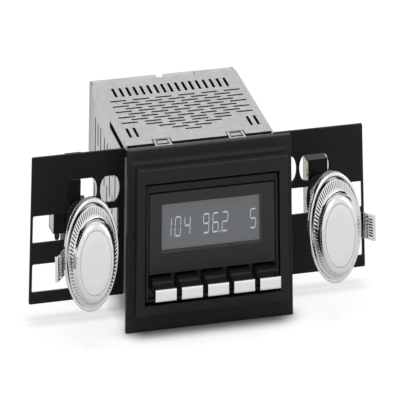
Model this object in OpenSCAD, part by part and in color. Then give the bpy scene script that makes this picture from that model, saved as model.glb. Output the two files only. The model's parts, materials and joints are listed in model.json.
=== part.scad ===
// Dashboard radio with two shaft controls, five push keys and a vented sheet-metal chassis.
// +X is right as seen from the front, +Y is rearwards, +Z is up. All sizes are in millimetres.
// Lengths along Y are counted from the front plane of the bezel's flange, heights from the
// shaft axes. at_frame() then moves the origin under the middle of the whole radio.

/* [Bezel] */
// Width of the bezel
bezel_w = 116; // [112:1:124]
// Height of the bezel
bezel_h = 60; // [58:1:66]
// Thickness of the bezel's flange
flange_t = 4; // [3:0.5:6]
// How far the raised frame stands in front of the flange
frame_rise = 8.3; // [6:0.1:9]
// Width of the opening inside the raised frame
opening_w = 94.2; // [92:0.1:96]
// Height of the opening inside the raised frame
opening_h = 39.75; // [39:0.05:42]

/* [Display] */
// Width of the smoked panel in front of the display
panel_w = 88.6; // [86:0.1:89]
// Height of the smoked panel
panel_h = 27.6; // [26:0.1:28]
// Width of the clear window in the panel
window_w = 70.6; // [60:0.1:74]
// Height of the clear window
window_h = 16; // [12:0.1:18]

/* [Keys] */
// Number of push keys
key_count = 5; // [3:1:5]
// Distance from one key to the next
key_pitch = 18.1; // [17.6:0.1:18.4]
// Width of a key's bright cap
cap_w = 14.5; // [12:0.1:15]
// Height of a key's bright cap
cap_h = 3.9; // [3.5:0.1:4.2]
// How far the caps stand in front of the flange
key_reach = 24.5; // [18:0.5:26]
// How far a key can be pressed
key_travel = 1.5; // [1:0.1:1.8]

/* [Chassis] */
// Width of the chassis over its cover
chassis_w = 105.3; // [104:0.1:108]
// Height of the chassis over its cover
chassis_h = 50.8; // [50:0.1:52]
// Distance from the flange plane to the chassis front
chassis_y = 29.8; // [28:0.1:34]
// Depth of the chassis
chassis_d = 107.3; // [100:0.1:115]
// Thickness of the chassis sheet
sheet = 1; // [0.8:0.1:1.2]

/* [Brackets] */
// Distance over the outer ends of the two brackets
bracket_span = 236; // [230:1:240]
// Height of a bracket
bracket_h = 48.4; // [46:0.2:50]
// Thickness of a bracket
bracket_t = 1.6; // [1.2:0.1:2]

/* [Shaft controls] */
// Distance between the two shaft axes
shaft_span = 170.4; // [168:0.2:174]
// Radius of the inner shafts
shaft_r = 3; // [2.8:0.05:3]
// Radius of the outer, hollow shafts
tube_r = 4; // [3.8:0.05:4]
// Radius of the ring behind each knob
ring_r = 18.5; // [18:0.1:20]
// How far a knob can be pressed
push_travel = 0.8; // [0.4:0.1:0.8]

/* [Hidden] */

run_gap = 0.05;         // running fit of a shaft in its hole, on the radius
slide_gap = 0.3;        // room round a key or slider
rounds = 64;            // facets of a turned piece as drawn; the surface itself is exact

// The frame: the knobs' faces are the foremost points and the rear stud's tip the rearmost
rim_y = -10.1;          // plane of the rings' rims, from which a knob's depth is counted
disc_face = 16;         // front of a knob's disc, in front of the rim plane
front_y = rim_y - disc_face;
stud_tip_y = 155.9;
mid_y = (front_y + stud_tip_y) / 2;
axis_z = bezel_h / 2;

// Bezel moulding, measured inwards from the bezel's outer edge
edge_r = 0.6;           // rounding of the outer edge
wall_in = 5.1;          // foot of the raised frame's wall at the top and sides
wall_in_low = 6.6;      // the same at the bottom
cove_r = 2.2;           // hollow at the foot of the wall
ridge_r = 0.9;          // rounding of the raised frame's outer edge
seat_y = flange_t - 0.5;    // where the nose housing meets the bezel, in a shallow recess

// Fascia behind the opening
fascia_gap = 0.2;       // shadow gap to the bezel's opening
fascia_w = opening_w - 2 * fascia_gap;
fascia_h = opening_h - 2 * fascia_gap;
fascia_rim = 2.9;       // rim round the panel
fascia_front = -6.8;    // front of the rim
panel_front = -6.3;     // front of the smoked panel
ledge_y = -4.8;         // face that the panel rests on
plate_back = -2;        // back of the fascia's plate
panel_z = opening_h / 2 - fascia_gap - fascia_rim - panel_h / 2 - 0.1;
window_z = panel_z + 1.5;
lens_t = 0.9;           // thickness of the clear lens

// Keys: the cap's middle height, and the body behind it
key_z = -13.45;
key_w = cap_w - 0.4;
key_low_h = cap_h - 0.7;        // body just behind the cap
key_high_h = cap_h + 0.1;       // stepped body where it enters the fascia
key_bottom = key_z - cap_h / 2 + 0.35;
cap_t = 2.2;
cap_back = -key_reach + cap_t;
key_step_y = -14.5;
key_tail_y = 5.5;
stem_r = 1.6;
stem_len = 4;
collar_back = 2;        // rear end of the guide collars

// Boards and nose
nose_w = 103.5;
nose_h = chassis_h - 2 * sheet;
nose_wall = 1.6;
board_t = 1.6;
display_board_y = 12;
switch_front = 7.5;
switch_size = 6;

// Chassis
top_z = chassis_h / 2;              // the bezel's middle is the chassis's middle too
chassis_back = chassis_y + chassis_d;
skirt_t = 1.1;
tray_w = chassis_w - 2 * skirt_t;
skirt_short_z = 20.6;               // lower edge of the cover's skirt at the rear
skirt_y = 103.5;                    // where the skirt becomes as deep as the chassis
skirt_bottom = -top_z + 1;
side_slot = [33.5, 80.5, 21.6, 24];    // y from, y to, z from, z to
vent_w = 2;
side_vent_w = 2.4;
screw_spots = [[58, -19], [97, -19]];       // y and z of the screws that hold the cover
leg_spots = [[41, -17.5], [41, -6]];        // and of those that hold a bracket's leg
notch_x = 26.3;                     // middle of a locking lug in the cover's front edge
notch_w = 13.2;
notch_back = 36.6;
lug_gap = 0.7;
board_z = -19.4;                    // underside of the main board
board_hole_x = 44;
board_ends = [44, 124];

// Rear
sink_d = 9.9;
sink_z = 0;
stud_r = 2.5;
stud_x = 0;
stud_z = -12;
antenna_x = 36;
antenna_r = 4.8;
antenna_z = -11.5;
harness_x = -30;
harness_size = [30, 16];
line_x = 17;
line_places = [line_x - 4.8, line_x + 4.8];

// Brackets: plate between these two planes, with a leg along the chassis side
bracket_y = 32;
bracket_back = bracket_y + bracket_t;
leg_back = 48;
leg_top = 4;
long_slot = [56.9, 116.4, -4.4, 4.6];       // distance from the middle: from, to; height: from, to
low_slot = [87.9, 116.2, -20.5, -11.3];
shaft_slot = [82.6, 21.4, 11.1, 4.45];      // middle, length, height, end radius
inner_slot = [63, 13.7, 11.1, 4.45];

// Shaft controls
shaft_x = shaft_span / 2;
bush_r = 4.4;
bush_front = 22;
can_r = 6.1;            // round hollow in a control
control_back = 47;
wafer_r = 5.6;          // contact wafers on the shafts
tube_back = 35.8;
wafer_y = 36.6;
slider_y = [37.8, 41.8];
collar_y = [42.1, 42.9];
switch_y = 44.4;

// Rings and knobs, as distances from the rim plane
web = [-1.5, 1];        // web between a ring's rim and the hollow shaft
rim_front = 3.4;
rim_back = -5.5;
lip_back = -0.9;        // where the smooth lip ends and the narrower drum begins
drum_r = ring_r - 1;
tab_drop = 4;           // the left ring is turned by this angle at rest
skirt_back = 5.2;
skirt_r = 16.7;
crown_foot = [14.1, 10.1];          // radius and depth of the foot of the crown
crown_edge = [13.5, 12.5];          // where its wall turns over into the bevel
disc_r = 10.6;
disc_t = 0.8;

module at_frame() {
    translate([0, -mid_y, axis_z]) children();
}

// Extrusions of a flat shape along each axis, between two planes
module along_y(from, to) {
    translate([0, to, 0]) rotate([90, 0, 0]) linear_extrude(to - from) children();
}

module along_z(from, to) {
    translate([0, 0, from]) linear_extrude(to - from) children();
}

module along_x(from, to) {
    translate([from, 0, 0]) rotate([90, 0, 90]) linear_extrude(to - from) children();
}

// Revolves a profile of radius and forward distance about an axis along Y
module turned(x, y, z = 0) {
    translate([x, y, z]) rotate([90, 0, 0]) rotate_extrude($fn = rounds) children();
}

// Straight round bar or hole along Y
module rod_y(x, z, r, from, to) {
    translate([x, to, z]) rotate([90, 0, 0]) cylinder(r = r, h = to - from, $fn = rounds);
}

module rod_z(x, y, r, from, to) {
    translate([x, y, from]) cylinder(r = r, h = to - from, $fn = 48);
}

module rod_x(y, z, r, from, to) {
    translate([from, y, z]) rotate([0, 90, 0]) cylinder(r = r, h = to - from, $fn = 48);
}

module round_rect(w, h, r) {
    square([w - 2 * r, h], center = true);
    square([w, h - 2 * r], center = true);
    for (x = [-1, 1], y = [-1, 1])
        translate([x * (w / 2 - r), y * (h / 2 - r)]) circle(r, $fn = 24);
}

// Round-ended slot along the first axis, or along the second when upright
module slot(length, width, upright = false) {
    rotate(upright ? 90 : 0) {
        square([length - width, width], center = true);
        for (s = [-1, 1]) translate([s * (length - width) / 2, 0]) circle(width / 2, $fn = 24);
    }
}

module span_rect(a0, a1, b0, b1, r = 0.8) {
    translate([(a0 + a1) / 2, (b0 + b1) / 2]) round_rect(a1 - a0, b1 - b0, r);
}

// ---- Front ----

// Section through the bezel's moulding, across a width with its two wall distances
module moulding(width, low_in, high_in) {
    half = width / 2;
    difference() {
        union() {
            translate([-half, -flange_t]) square([width, flange_t - edge_r]);
            translate([-half + edge_r, -edge_r]) square([width - 2 * edge_r, edge_r]);
            for (s = [-1, 1]) translate([s * (half - edge_r), -edge_r]) circle(edge_r, $fn = 24);
            translate([-half + low_in, 0])
                square([width - low_in - high_in, frame_rise - ridge_r]);
            translate([-half + low_in + ridge_r, frame_rise - ridge_r])
                square([width - low_in - high_in - 2 * ridge_r, ridge_r]);
            for (x = [-half + low_in + ridge_r, half - high_in - ridge_r])
                translate([x, frame_rise - ridge_r]) circle(ridge_r, $fn = 24);
            translate([-half + low_in - cove_r, 0]) square(cove_r);
            translate([half - high_in, 0]) square(cove_r);
        }
        translate([-half + low_in - cove_r, cove_r]) circle(cove_r, $fn = 48);
        translate([half - high_in + cove_r, cove_r]) circle(cove_r, $fn = 48);
    }
}

// The two crossed sections leave mitred corners
module bezel() {
    at_frame() color([0.09, 0.09, 0.09])
    difference() {
        intersection() {
            translate([0, 0, -bezel_h]) mirror([0, 1, 0]) linear_extrude(2 * bezel_h)
                moulding(bezel_w, wall_in, wall_in);
            translate([-bezel_w, 0, 0]) rotate([0, -90, 0]) mirror([0, 1, 0]) mirror([0, 0, 1])
                linear_extrude(2 * bezel_w) moulding(bezel_h, wall_in_low, wall_in);
        }
        along_y(-frame_rise - 1, flange_t + 1) square([opening_w, opening_h], center = true);
        along_y(seat_y, flange_t + 1) square([nose_w + 0.6, nose_h + 0.6], center = true);
    }
}

module key_places() {
    for (i = [0:key_count - 1]) translate([key_x(i), 0]) children();
}

function key_x(i) = (i - (key_count - 1) / 2) * key_pitch;

module key_window(extra) {
    key_places() translate([-key_w / 2 - slide_gap - extra, key_bottom - slide_gap - extra])
        square([key_w + 2 * (slide_gap + extra), key_high_h + 2 * (slide_gap + extra)]);
}

module fascia() {
    at_frame() color([0.1, 0.1, 0.1])
    difference() {
        union() {
            along_y(fascia_front, plate_back) round_rect(fascia_w, fascia_h, 0.4);
            along_y(plate_back, seat_y) difference() {
                round_rect(fascia_w, fascia_h, 0.4);
                square([fascia_w - 2 * nose_wall, fascia_h - 2 * nose_wall], center = true);
            }
            along_y(plate_back, collar_back) key_window(0.9);
        }
        along_y(fascia_front - 1, ledge_y)
            translate([-panel_w / 2 - 0.1, -fascia_h / 2 + 1.6])
            square([panel_w + 0.2, panel_z + panel_h / 2 + 0.1 + fascia_h / 2 - 1.6]);
        along_y(ledge_y - 1, plate_back + 1) translate([0, window_z])
            square([window_w + 1.6, window_h + 1.6], center = true);
        along_y(ledge_y - 1, collar_back + 1) key_window(0);
    }
}

module window_panel() {
    at_frame() color([0.2, 0.2, 0.2])
    along_y(panel_front, ledge_y) difference() {
        translate([0, panel_z]) round_rect(panel_w, panel_h, 0.3);
        translate([0, window_z]) square([window_w, window_h], center = true);
    }
}

module window_lens() {
    at_frame() color([0.5, 0.5, 0.52, 0.4])
    along_y(panel_front, panel_front + lens_t) translate([0, window_z])
        square([window_w, window_h], center = true);
}

module lcd_panel() {
    at_frame() color([0.42, 0.43, 0.45]) {
        along_y(plate_back, plate_back + 2.4) translate([0, window_z])
            square([window_w + 8, window_h + 5], center = true);
    }
}

// Open at the back, where the lamps on the board shine into it
module light_box() {
    at_frame() color("white")
    along_y(plate_back + 2.4, display_board_y) translate([0, window_z]) difference() {
        square([window_w + 8, window_h + 5], center = true);
        square([window_w + 5, window_h + 2], center = true);
    }
}

module preset_key(i) {
    at_frame() color([0.07, 0.07, 0.08]) translate([key_x(i), 0, 0]) {
        along_x(-key_w / 2, key_w / 2) polygon([
            [cap_back, key_bottom], [key_tail_y, key_bottom],
            [key_tail_y, key_bottom + key_high_h], [key_step_y + 0.6, key_bottom + key_high_h],
            [key_step_y, key_bottom + key_low_h], [cap_back, key_bottom + key_low_h]
        ]);
        rod_y(0, key_z, stem_r, key_tail_y, key_tail_y + stem_len);
    }
}

// Bright cap with a bevelled rim
module preset_cap(i) {
    bevel = 0.45;
    at_frame() color([0.9, 0.9, 0.92]) translate([key_x(i), 0, key_z])
    intersection() {
        along_y(-key_reach, cap_back) round_rect(cap_w, cap_h, 0.3);
        along_z(-cap_h, cap_h) polygon([
            [-cap_w / 2, cap_back], [cap_w / 2, cap_back], [cap_w / 2, bevel - key_reach],
            [cap_w / 2 - bevel, -key_reach], [bevel - cap_w / 2, -key_reach],
            [-cap_w / 2, bevel - key_reach]
        ]);
        along_x(-cap_w, cap_w) polygon([
            [cap_back, -cap_h / 2], [cap_back, cap_h / 2], [bevel - key_reach, cap_h / 2],
            [-key_reach, cap_h / 2 - bevel], [-key_reach, bevel - cap_h / 2],
            [bevel - key_reach, -cap_h / 2]
        ]);
    }
}

module display_board() {
    at_frame() color([0.1, 0.35, 0.2])
    along_y(display_board_y, display_board_y + board_t) difference() {
        square([nose_w - 2 * nose_wall - 0.2, nose_h - 2 * nose_wall - 0.2], center = true);
        for (x = [-1, 1], z = [-1, 1]) translate([x * 44, z * 19]) circle(1.5, $fn = 24);
    }
}

module key_switches() {
    at_frame() color([0.15, 0.15, 0.16])
    for (i = [0:key_count - 1]) difference() {
        along_y(switch_front, display_board_y) translate([key_x(i), key_z])
            square(switch_size, center = true);
        rod_y(key_x(i), key_z, stem_r + run_gap, switch_front - 1, display_board_y + 1);
    }
}

module nose_housing() {
    ledge_back = display_board_y;
    at_frame() color([0.07, 0.07, 0.07])
    difference() {
        along_y(seat_y, chassis_y) round_rect(nose_w, nose_h, 0.8);
        along_y(seat_y - 1, ledge_back + 1)
            square([fascia_w - 2 * nose_wall, fascia_h - 2 * nose_wall], center = true);
        along_y(flange_t + 2, ledge_back + 1)
            square([nose_w - 4 * nose_wall, nose_h - 3 * nose_wall], center = true);
        along_y(ledge_back, chassis_y + 1) difference() {
            square([nose_w - 2 * nose_wall, nose_h - 2 * nose_wall], center = true);
            for (x = [-1, 1], z = [-1, 1])
                translate([x * (nose_w / 2 - 4), z * (nose_h / 2 - 4)]) square(7, center = true);
        }
        along_y(ledge_back, ledge_back + board_t + 4)
            square([nose_w - 2 * nose_wall, nose_h - 2 * nose_wall], center = true);
        for (x = [-1, 1], z = [-1, 1])
            rod_y(x * (nose_w / 2 - 4.4), z * (nose_h / 2 - 4.4), 1.2, chassis_y - 8, chassis_y + 1);
    }
}

// Screw along +Y or -Y, its head seated on a plane
module small_screw(head_r, head_h, r, length) {
    cylinder(r = r, h = length, $fn = 24);
    translate([0, 0, -head_h]) cylinder(r = head_r, h = head_h, $fn = 32);
}

module inner_screws() {
    at_frame() color([0.75, 0.75, 0.7]) {
        for (x = [-1, 1], z = [-1, 1])
            translate([x * (nose_w / 2 - 4.4), chassis_y + sheet, z * (nose_h / 2 - 4.4)])
                rotate([90, 0, 0]) small_screw(2.2, 1.6, 1.2, 7);
        for (x = [-1, 1], y = board_ends)
            translate([x * board_hole_x, y, board_z + board_t])
                mirror([0, 0, 1]) small_screw(2.6, 1.5, 1.4, 5);
    }
}

// ---- Chassis ----

module front_frame() {
    at_frame() color([0.72, 0.73, 0.72]) {
        difference() {
            along_y(chassis_y, chassis_y + sheet)
                square([tray_w - 2 * sheet, chassis_h - 2 * sheet], center = true);
            along_y(chassis_y - 1, chassis_y + sheet + 1) {
                translate([0, -8]) round_rect(60, 22, 2);
                for (x = [-1, 1]) translate([x * 34, 13]) slot(20, 6);
            }
            for (x = [-1, 1], z = [-1, 1])
                rod_y(x * (nose_w / 2 - 4.4), z * (nose_h / 2 - 4.4), 1.25, chassis_y - 1,
                      chassis_y + 2);
        }
        for (s = [-1, 1]) along_z(top_z - sheet, top_z)
            translate([s * notch_x - notch_w / 2 + lug_gap, chassis_y - 4.4])
            square([notch_w - 2 * lug_gap, notch_back - lug_gap - chassis_y + 4.4]);
    }
}

// Upright vents of a side wall, staggered in two rows
module side_vents() {
    for (k = [0:8]) translate([61.8 + 8.6 * k, k % 2 == 0 ? 6.5 : -5.2])
        slot(k % 2 == 0 ? 17 : 11.4, side_vent_w, upright = true);
    for (k = [0:8]) translate([61.8 + 8.6 * k, k % 2 == 0 ? -13.5 : 10.6])
        slot(k % 2 == 0 ? 11.4 : 8, side_vent_w, upright = true);
}

module side_slot_shape() {
    slot_h = side_slot[3] - side_slot[2];
    translate([side_slot[0] - 5, side_slot[2]])
        square([side_slot[1] - side_slot[0] + 5 - slot_h / 2, slot_h]);
    translate([side_slot[1] - slot_h / 2, side_slot[2] + slot_h / 2]) circle(slot_h / 2, $fn = 24);
}

module tray_side_holes() {
    for (p = screw_spots) translate(p) circle(1.5, $fn = 24);
    for (p = leg_spots) translate(p) circle(2, $fn = 24);
}

module chassis_tray() {
    at_frame() color([0.75, 0.76, 0.74])
    difference() {
        union() {
            along_z(-top_z, -top_z + sheet) translate([-tray_w / 2, chassis_y])
                square([tray_w, chassis_d - sheet]);
            for (s = [0, 1]) mirror([s, 0, 0]) along_x(tray_w / 2 - sheet, tray_w / 2)
                difference() {
                    translate([chassis_y, -top_z]) square([chassis_d - sheet, chassis_h - sheet]);
                    side_vents();
                    side_slot_shape();
                    tray_side_holes();
                }
        }
        for (i = [0:6]) along_z(-top_z - 1, -top_z + sheet + 1)
            translate([0, 50 + 11 * i]) slot(60, 3);
    }
}

// Brick pattern of dashes across the cover, narrowing to the front in its middle
module cover_vents() {
    dash = 12.3;
    span = 95.2;
    first_row = 103.8;
    row_pitch = 4.63;
    pitch = (span - dash) / 5;
    for (row = [0:8], k = [0:row % 2 == 0 ? 5 : 4])
        translate([-span / 2 + dash / 2 + pitch * (k + (row % 2) / 2), first_row - row_pitch * row])
            slot(dash, vent_w);
    for (row = [9:12], k = [0:12 - row])
        translate([pitch * (k - (12 - row) / 2), first_row - row_pitch * row]) slot(dash, vent_w);
    for (k = [0:16]) translate([-41 + k * 5.1, 118]) slot(15.2, vent_w, upright = true);
    for (s = [-1, 1], x = [40.8, 45.9]) translate([s * x, 50.5])
        slot(15.6, vent_w, upright = true);
}

module cover_side() {
    difference() {
        polygon([
            [chassis_y, top_z], [chassis_back, top_z], [chassis_back, skirt_short_z],
            [skirt_y + 2, skirt_short_z], [skirt_y, skirt_short_z - 3], [skirt_y, skirt_bottom],
            [chassis_y, skirt_bottom]
        ]);
        side_vents();
        side_slot_shape();
        tray_side_holes();
    }
}

module top_cover() {
    edge = 0.5;             // the front edge stands back from the chassis's
    at_frame() color([0.74, 0.74, 0.73]) {
        along_z(top_z - sheet, top_z) difference() {
            union() {
                translate([-tray_w / 2, chassis_y + edge]) square([tray_w, chassis_d - edge]);
                for (x = [-32.6, 29.5]) translate([x - 7, chassis_back - 1]) square([14, 5.2]);
            }
            for (s = [-1, 1]) translate([s * notch_x - notch_w / 2, chassis_y - 1])
                square([notch_w, notch_back - chassis_y + 1]);
            cover_vents();
        }
        for (s = [0, 1]) mirror([s, 0, 0]) along_x(tray_w / 2, chassis_w / 2) cover_side();
    }
}

module rear_panel() {
    at_frame() color([0.75, 0.76, 0.74])
    difference() {
        along_y(chassis_back - sheet, chassis_back) translate([0, -sheet / 2])
            square([tray_w, chassis_h - sheet], center = true);
        rod_y(antenna_x, antenna_z, 6, chassis_back - 3, chassis_back + 1);
        rod_y(stud_x, stud_z, stud_r + 0.4, chassis_back - 3, chassis_back + 1);
        for (x = line_places) rod_y(x, stud_z, 3.4, chassis_back - 3, chassis_back + 1);
        along_y(chassis_back - 3, chassis_back + 1) {
            translate([harness_x, antenna_z])
                square([harness_size[0] - 2, harness_size[1] - 2], center = true);
        }
    }
}

module cover_screws() {
    at_frame() color([0.8, 0.8, 0.78])
    for (s = [0, 1], p = screw_spots) mirror([s, 0, 0])
        translate([chassis_w / 2, p[0], p[1]]) rotate([0, -90, 0])
            small_screw(2.7, 1.5, 1.5, 3.6);
}

module main_board() {
    at_frame() color([0.1, 0.35, 0.2])
    difference() {
        along_z(board_z, board_z + board_t) translate([-48.5, 36]) square([97, 94]);
        for (x = [-1, 1], y = board_ends) rod_z(x * board_hole_x, y, 1.4, board_z - 1, board_z + 3);
    }
}

module board_standoffs() {
    at_frame() color([0.8, 0.75, 0.5])
    for (x = [-1, 1], y = board_ends) difference() {
        translate([x * board_hole_x, y, -top_z + sheet])
            cylinder(r = 3, h = board_z + top_z - sheet, $fn = 6);
        rod_z(x * board_hole_x, y, 1.4, board_z - 3.4, board_z + 1);
    }
}

// Screened tuner with a pressed edge round its lid
module tuner_module() {
    can = [40, 32, 12];
    base = board_z + board_t;
    at_frame() color([0.8, 0.8, 0.78]) translate([-40, 88, base]) {
        difference() {
            cube(can);
            translate([2, 2, can[2] - 0.6]) cube([can[0] - 4, can[1] - 4, 1]);
        }
    }
}

module amplifier_chip() {
    base = board_z + board_t;
    at_frame() color([0.1, 0.1, 0.1]) {
        translate([4, chassis_back - sheet - 4.5, 0]) cube([26, 4.5, 16]);
        for (i = [0:10]) translate([5 + 2.2 * i, 127, 0]) {
            translate([0, 0, -0.6]) cube([0.8, 6.6, 0.6]);
            translate([0, 0, base]) cube([0.8, 0.6, -base]);
        }
    }
}

module capacitors() {
    base = board_z + board_t;
    at_frame() color([0.12, 0.14, 0.3])
    for (p = [[12, 108, 5, 22], [25, 108, 5, 22], [38, 104, 4, 14], [38, 92, 4, 14], [14, 90, 3.2, 11]])
        translate([p[0], p[1], base]) {
            cylinder(r = p[2], h = p[3] - 0.5, $fn = 48);
            cylinder(r = p[2] - 0.5, h = p[3], $fn = 48);
        }
}

// Flat cable between two board connectors, through the opening in the front frame
module ribbon_cable() {
    front = display_board_y + board_t;
    base = board_z + board_t;
    at_frame() color([0.85, 0.85, 0.8]) {
        along_x(-17, 17) polygon([[front, -10], [front + 4, -10], [front + 4, -14.6], [front, -14.6]]);
        along_x(-17, 17) polygon([[38, base], [43, base], [43, base + 6], [38, base + 6]]);
        along_x(-15, 15) polygon([
            [front + 4, -12], [38, base + 4.6], [38, base + 4], [front + 4, -12.6]
        ]);
    }
}

// Extruded cooling block with level fins, notched through its top in the middle
module heat_sink() {
    height = top_z - sheet - sink_z;
    fins = 6;
    at_frame() color([0.86, 0.87, 0.87])
    difference() {
        union() {
            along_z(sink_z, sink_z + height) translate([-chassis_w / 2, chassis_back])
                square([chassis_w, 4]);
            for (k = [0:fins - 1])
                translate([-chassis_w / 2, chassis_back, sink_z + k * (height - 2) / (fins - 1)])
                cube([chassis_w, sink_d, 2]);
        }
        along_y(chassis_back - 1, chassis_back + sink_d + 1)
            translate([-4.2, top_z - 5]) square([5, 6]);
    }
}

module antenna_socket() {
    at_frame() color([0.8, 0.8, 0.78])
    difference() {
        union() {
            rod_y(antenna_x, antenna_z, 6, chassis_back - 5, chassis_back + 13);
            rod_y(antenna_x, antenna_z, 7.4, chassis_back, chassis_back + 1.5);
        }
        rod_y(antenna_x, antenna_z, antenna_r, chassis_back - 1, chassis_back + 14);
    }
}

// Shrouded plug for the wiring loom: two rows of pins in a keyed box
module harness_socket() {
    depth = 13;
    w = harness_size[0];
    h = harness_size[1];
    at_frame() color([0.1, 0.1, 0.1]) translate([harness_x, 0, antenna_z]) {
        difference() {
            union() {
                along_y(chassis_back, chassis_back + 10) square([w, h], center = true);
                along_y(chassis_back - 6, chassis_back) square([w - 2, h - 2], center = true);
            }
            along_y(chassis_back + 10 - depth, chassis_back + 11) {
                square([w - 4, h - 4], center = true);
                translate([0, h / 2 - 2]) square([4, 2.4], center = true);
            }
        }
        for (i = [0:7], z = [-3, 3]) along_y(chassis_back - 4, chassis_back + 3)
            translate([(i - 3.5) * 3, z]) square(0.9, center = true);
    }
}

module line_out_sockets() {
    at_frame() color([0.85, 0.85, 0.83])
    for (x = line_places) difference() {
        union() {
            rod_y(x, stud_z, 4.1, chassis_back, chassis_back + 9);
            rod_y(x, stud_z, 3.4, chassis_back - 6, chassis_back);
        }
        rod_y(x, stud_z, 1.7, chassis_back - 1, chassis_back + 10);
    }
}

module rear_stud() {
    at_frame() color([0.8, 0.8, 0.75]) {
        rod_y(stud_x, stud_z, stud_r + 0.4, chassis_back - sheet, chassis_back + 4.4);
        rod_y(stud_x, stud_z, stud_r, chassis_back + 4.4, stud_tip_y);
        rod_y(stud_x, stud_z, 5, chassis_back - sheet - 2, chassis_back - sheet);
    }
}

module rear_nut() {
    at_frame() color([0.8, 0.8, 0.75])
    difference() {
        translate([stud_x, chassis_back + 4.2, stud_z]) rotate([90, 0, 0])
            cylinder(r = 5.2, h = 4.2, $fn = 6);
        rod_y(stud_x, stud_z, stud_r + 0.4, chassis_back - 1, chassis_back + 5);
    }
}

// ---- Brackets ----

module bracket_face() {
    outer = bracket_span / 2;
    difference() {
        span_rect(chassis_w / 2, outer, -bracket_h / 2, bracket_h / 2, 0.6);
        span_rect(long_slot[0], long_slot[1], long_slot[2], long_slot[3], 0.7);
        span_rect(low_slot[0], low_slot[1], low_slot[2], low_slot[3], 0.7);
        for (s = [shaft_slot, inner_slot]) translate([s[0], s[2]]) slot(s[1], 2 * s[3]);
    }
}

// Plate with a leg bent back along the chassis, slotted for its two screws
module bracket() {
    leg_x = chassis_w / 2;
    along_y(bracket_y, bracket_back) bracket_face();
    along_x(leg_x, leg_x + bracket_t) difference() {
        translate([bracket_back, -bracket_h / 2])
            square([leg_back - bracket_back, leg_top + bracket_h / 2]);
        for (p = leg_spots) translate(p) slot(7, 4.2);
    }
}

module left_bracket() {
    at_frame() color([0.1, 0.1, 0.09]) mirror([1, 0, 0]) bracket();
}

module right_bracket() {
    at_frame() color([0.1, 0.1, 0.09]) bracket();
}

module bracket_screws() {
    at_frame() color([0.8, 0.8, 0.78])
    for (s = [0, 1], p = leg_spots) mirror([s, 0, 0])
        translate([chassis_w / 2 + bracket_t, p[0], p[1]]) rotate([0, -90, 0])
            small_screw(3.4, 2, 2, bracket_t + 3.2);
}

// ---- Shaft controls ----

// Front outlines of the two controls, as distances from the shaft, outwards along X
module left_outline() {
    polygon([
        [-2.1, 15], [16.4, 15], [16.4, -2.4], [8.5, -2.4], [8.5, -8],
        [-7.6, -8], [-7.6, 6.4], [-2.1, 6.4]
    ]);
}

module right_outline() {
    polygon([[-6.3, 13.3], [7.6, 13.3], [7.6, -8], [-6.3, -8]]);
}

module control_case(s) {
    wall = 1;
    difference() {
        along_y(bracket_back, control_back) children();
        rod_y(0, 0, bush_r, bracket_back - 1, control_back + 1);
        rod_y(0, 0, can_r, bracket_back + wall, control_back + 1);
        along_y(bracket_back + wall, control_back + 1)
            translate([s < 0 ? 6.2 : 2.8, 10.2]) square([s < 0 ? 14.5 : 6.6, 5.2], center = true);
    }
}

module left_control() {
    at_frame() color([0.06, 0.06, 0.06]) mirror([1, 0, 0]) translate([shaft_x, 0, 0])
        control_case(-1) left_outline();
}

module right_control() {
    at_frame() color([0.06, 0.06, 0.06]) translate([shaft_x, 0, 0])
        control_case(1) right_outline();
}

// Board that closes the back of a control and carries its push switch
module control_board() {
    along_y(control_back, control_back + board_t) children();
    along_y(switch_y, control_back) square(5, center = true);
}

module left_control_board() {
    at_frame() color([0.08, 0.09, 0.08]) mirror([1, 0, 0]) translate([shaft_x, 0, 0])
        control_board() polygon([
            [-4.9, 21.2], [6.6, 21.2], [6.6, 15], [16.6, 15], [16.6, -2.7], [14, -5.1],
            [8.5, -5.1], [8.5, -8], [-7.6, -8], [-7.6, 6.4], [-2.1, 6.4], [-2.1, 12.8],
            [-4.9, 12.8]
        ]);
}

module right_control_board() {
    at_frame() color([0.08, 0.09, 0.08]) translate([shaft_x, 0, 0])
        control_board() right_outline();
}

module bush(x) {
    at_frame() color([0.8, 0.75, 0.55])
    difference() {
        rod_y(x, 0, bush_r, bush_front, bracket_back + 1);
        rod_y(x, 0, tube_r + run_gap, bush_front - 1, bracket_back + 2);
    }
}

module left_bush() { bush(-shaft_x); }

module right_bush() { bush(shaft_x); }

// A washer and a hexagon nut on each bush, clamping the bracket
module shaft_nuts() {
    nut_t = 2.6;
    washer_t = 0.8;
    at_frame() color([0.85, 0.85, 0.83])
    for (s = [-1, 1]) {
        difference() {
            rod_y(s * shaft_x, 0, 8.5, bracket_y - washer_t, bracket_y);
            rod_y(s * shaft_x, 0, bush_r, bracket_y - 3, bracket_y + 1);
        }
        difference() {
            translate([s * shaft_x, bracket_y - washer_t, 0]) rotate([90, 0, 0])
                cylinder(r = 7.5, h = nut_t, $fn = 6);
            rod_y(s * shaft_x, 0, bush_r, bracket_y - 6, bracket_y + 1);
        }
    }
}

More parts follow.
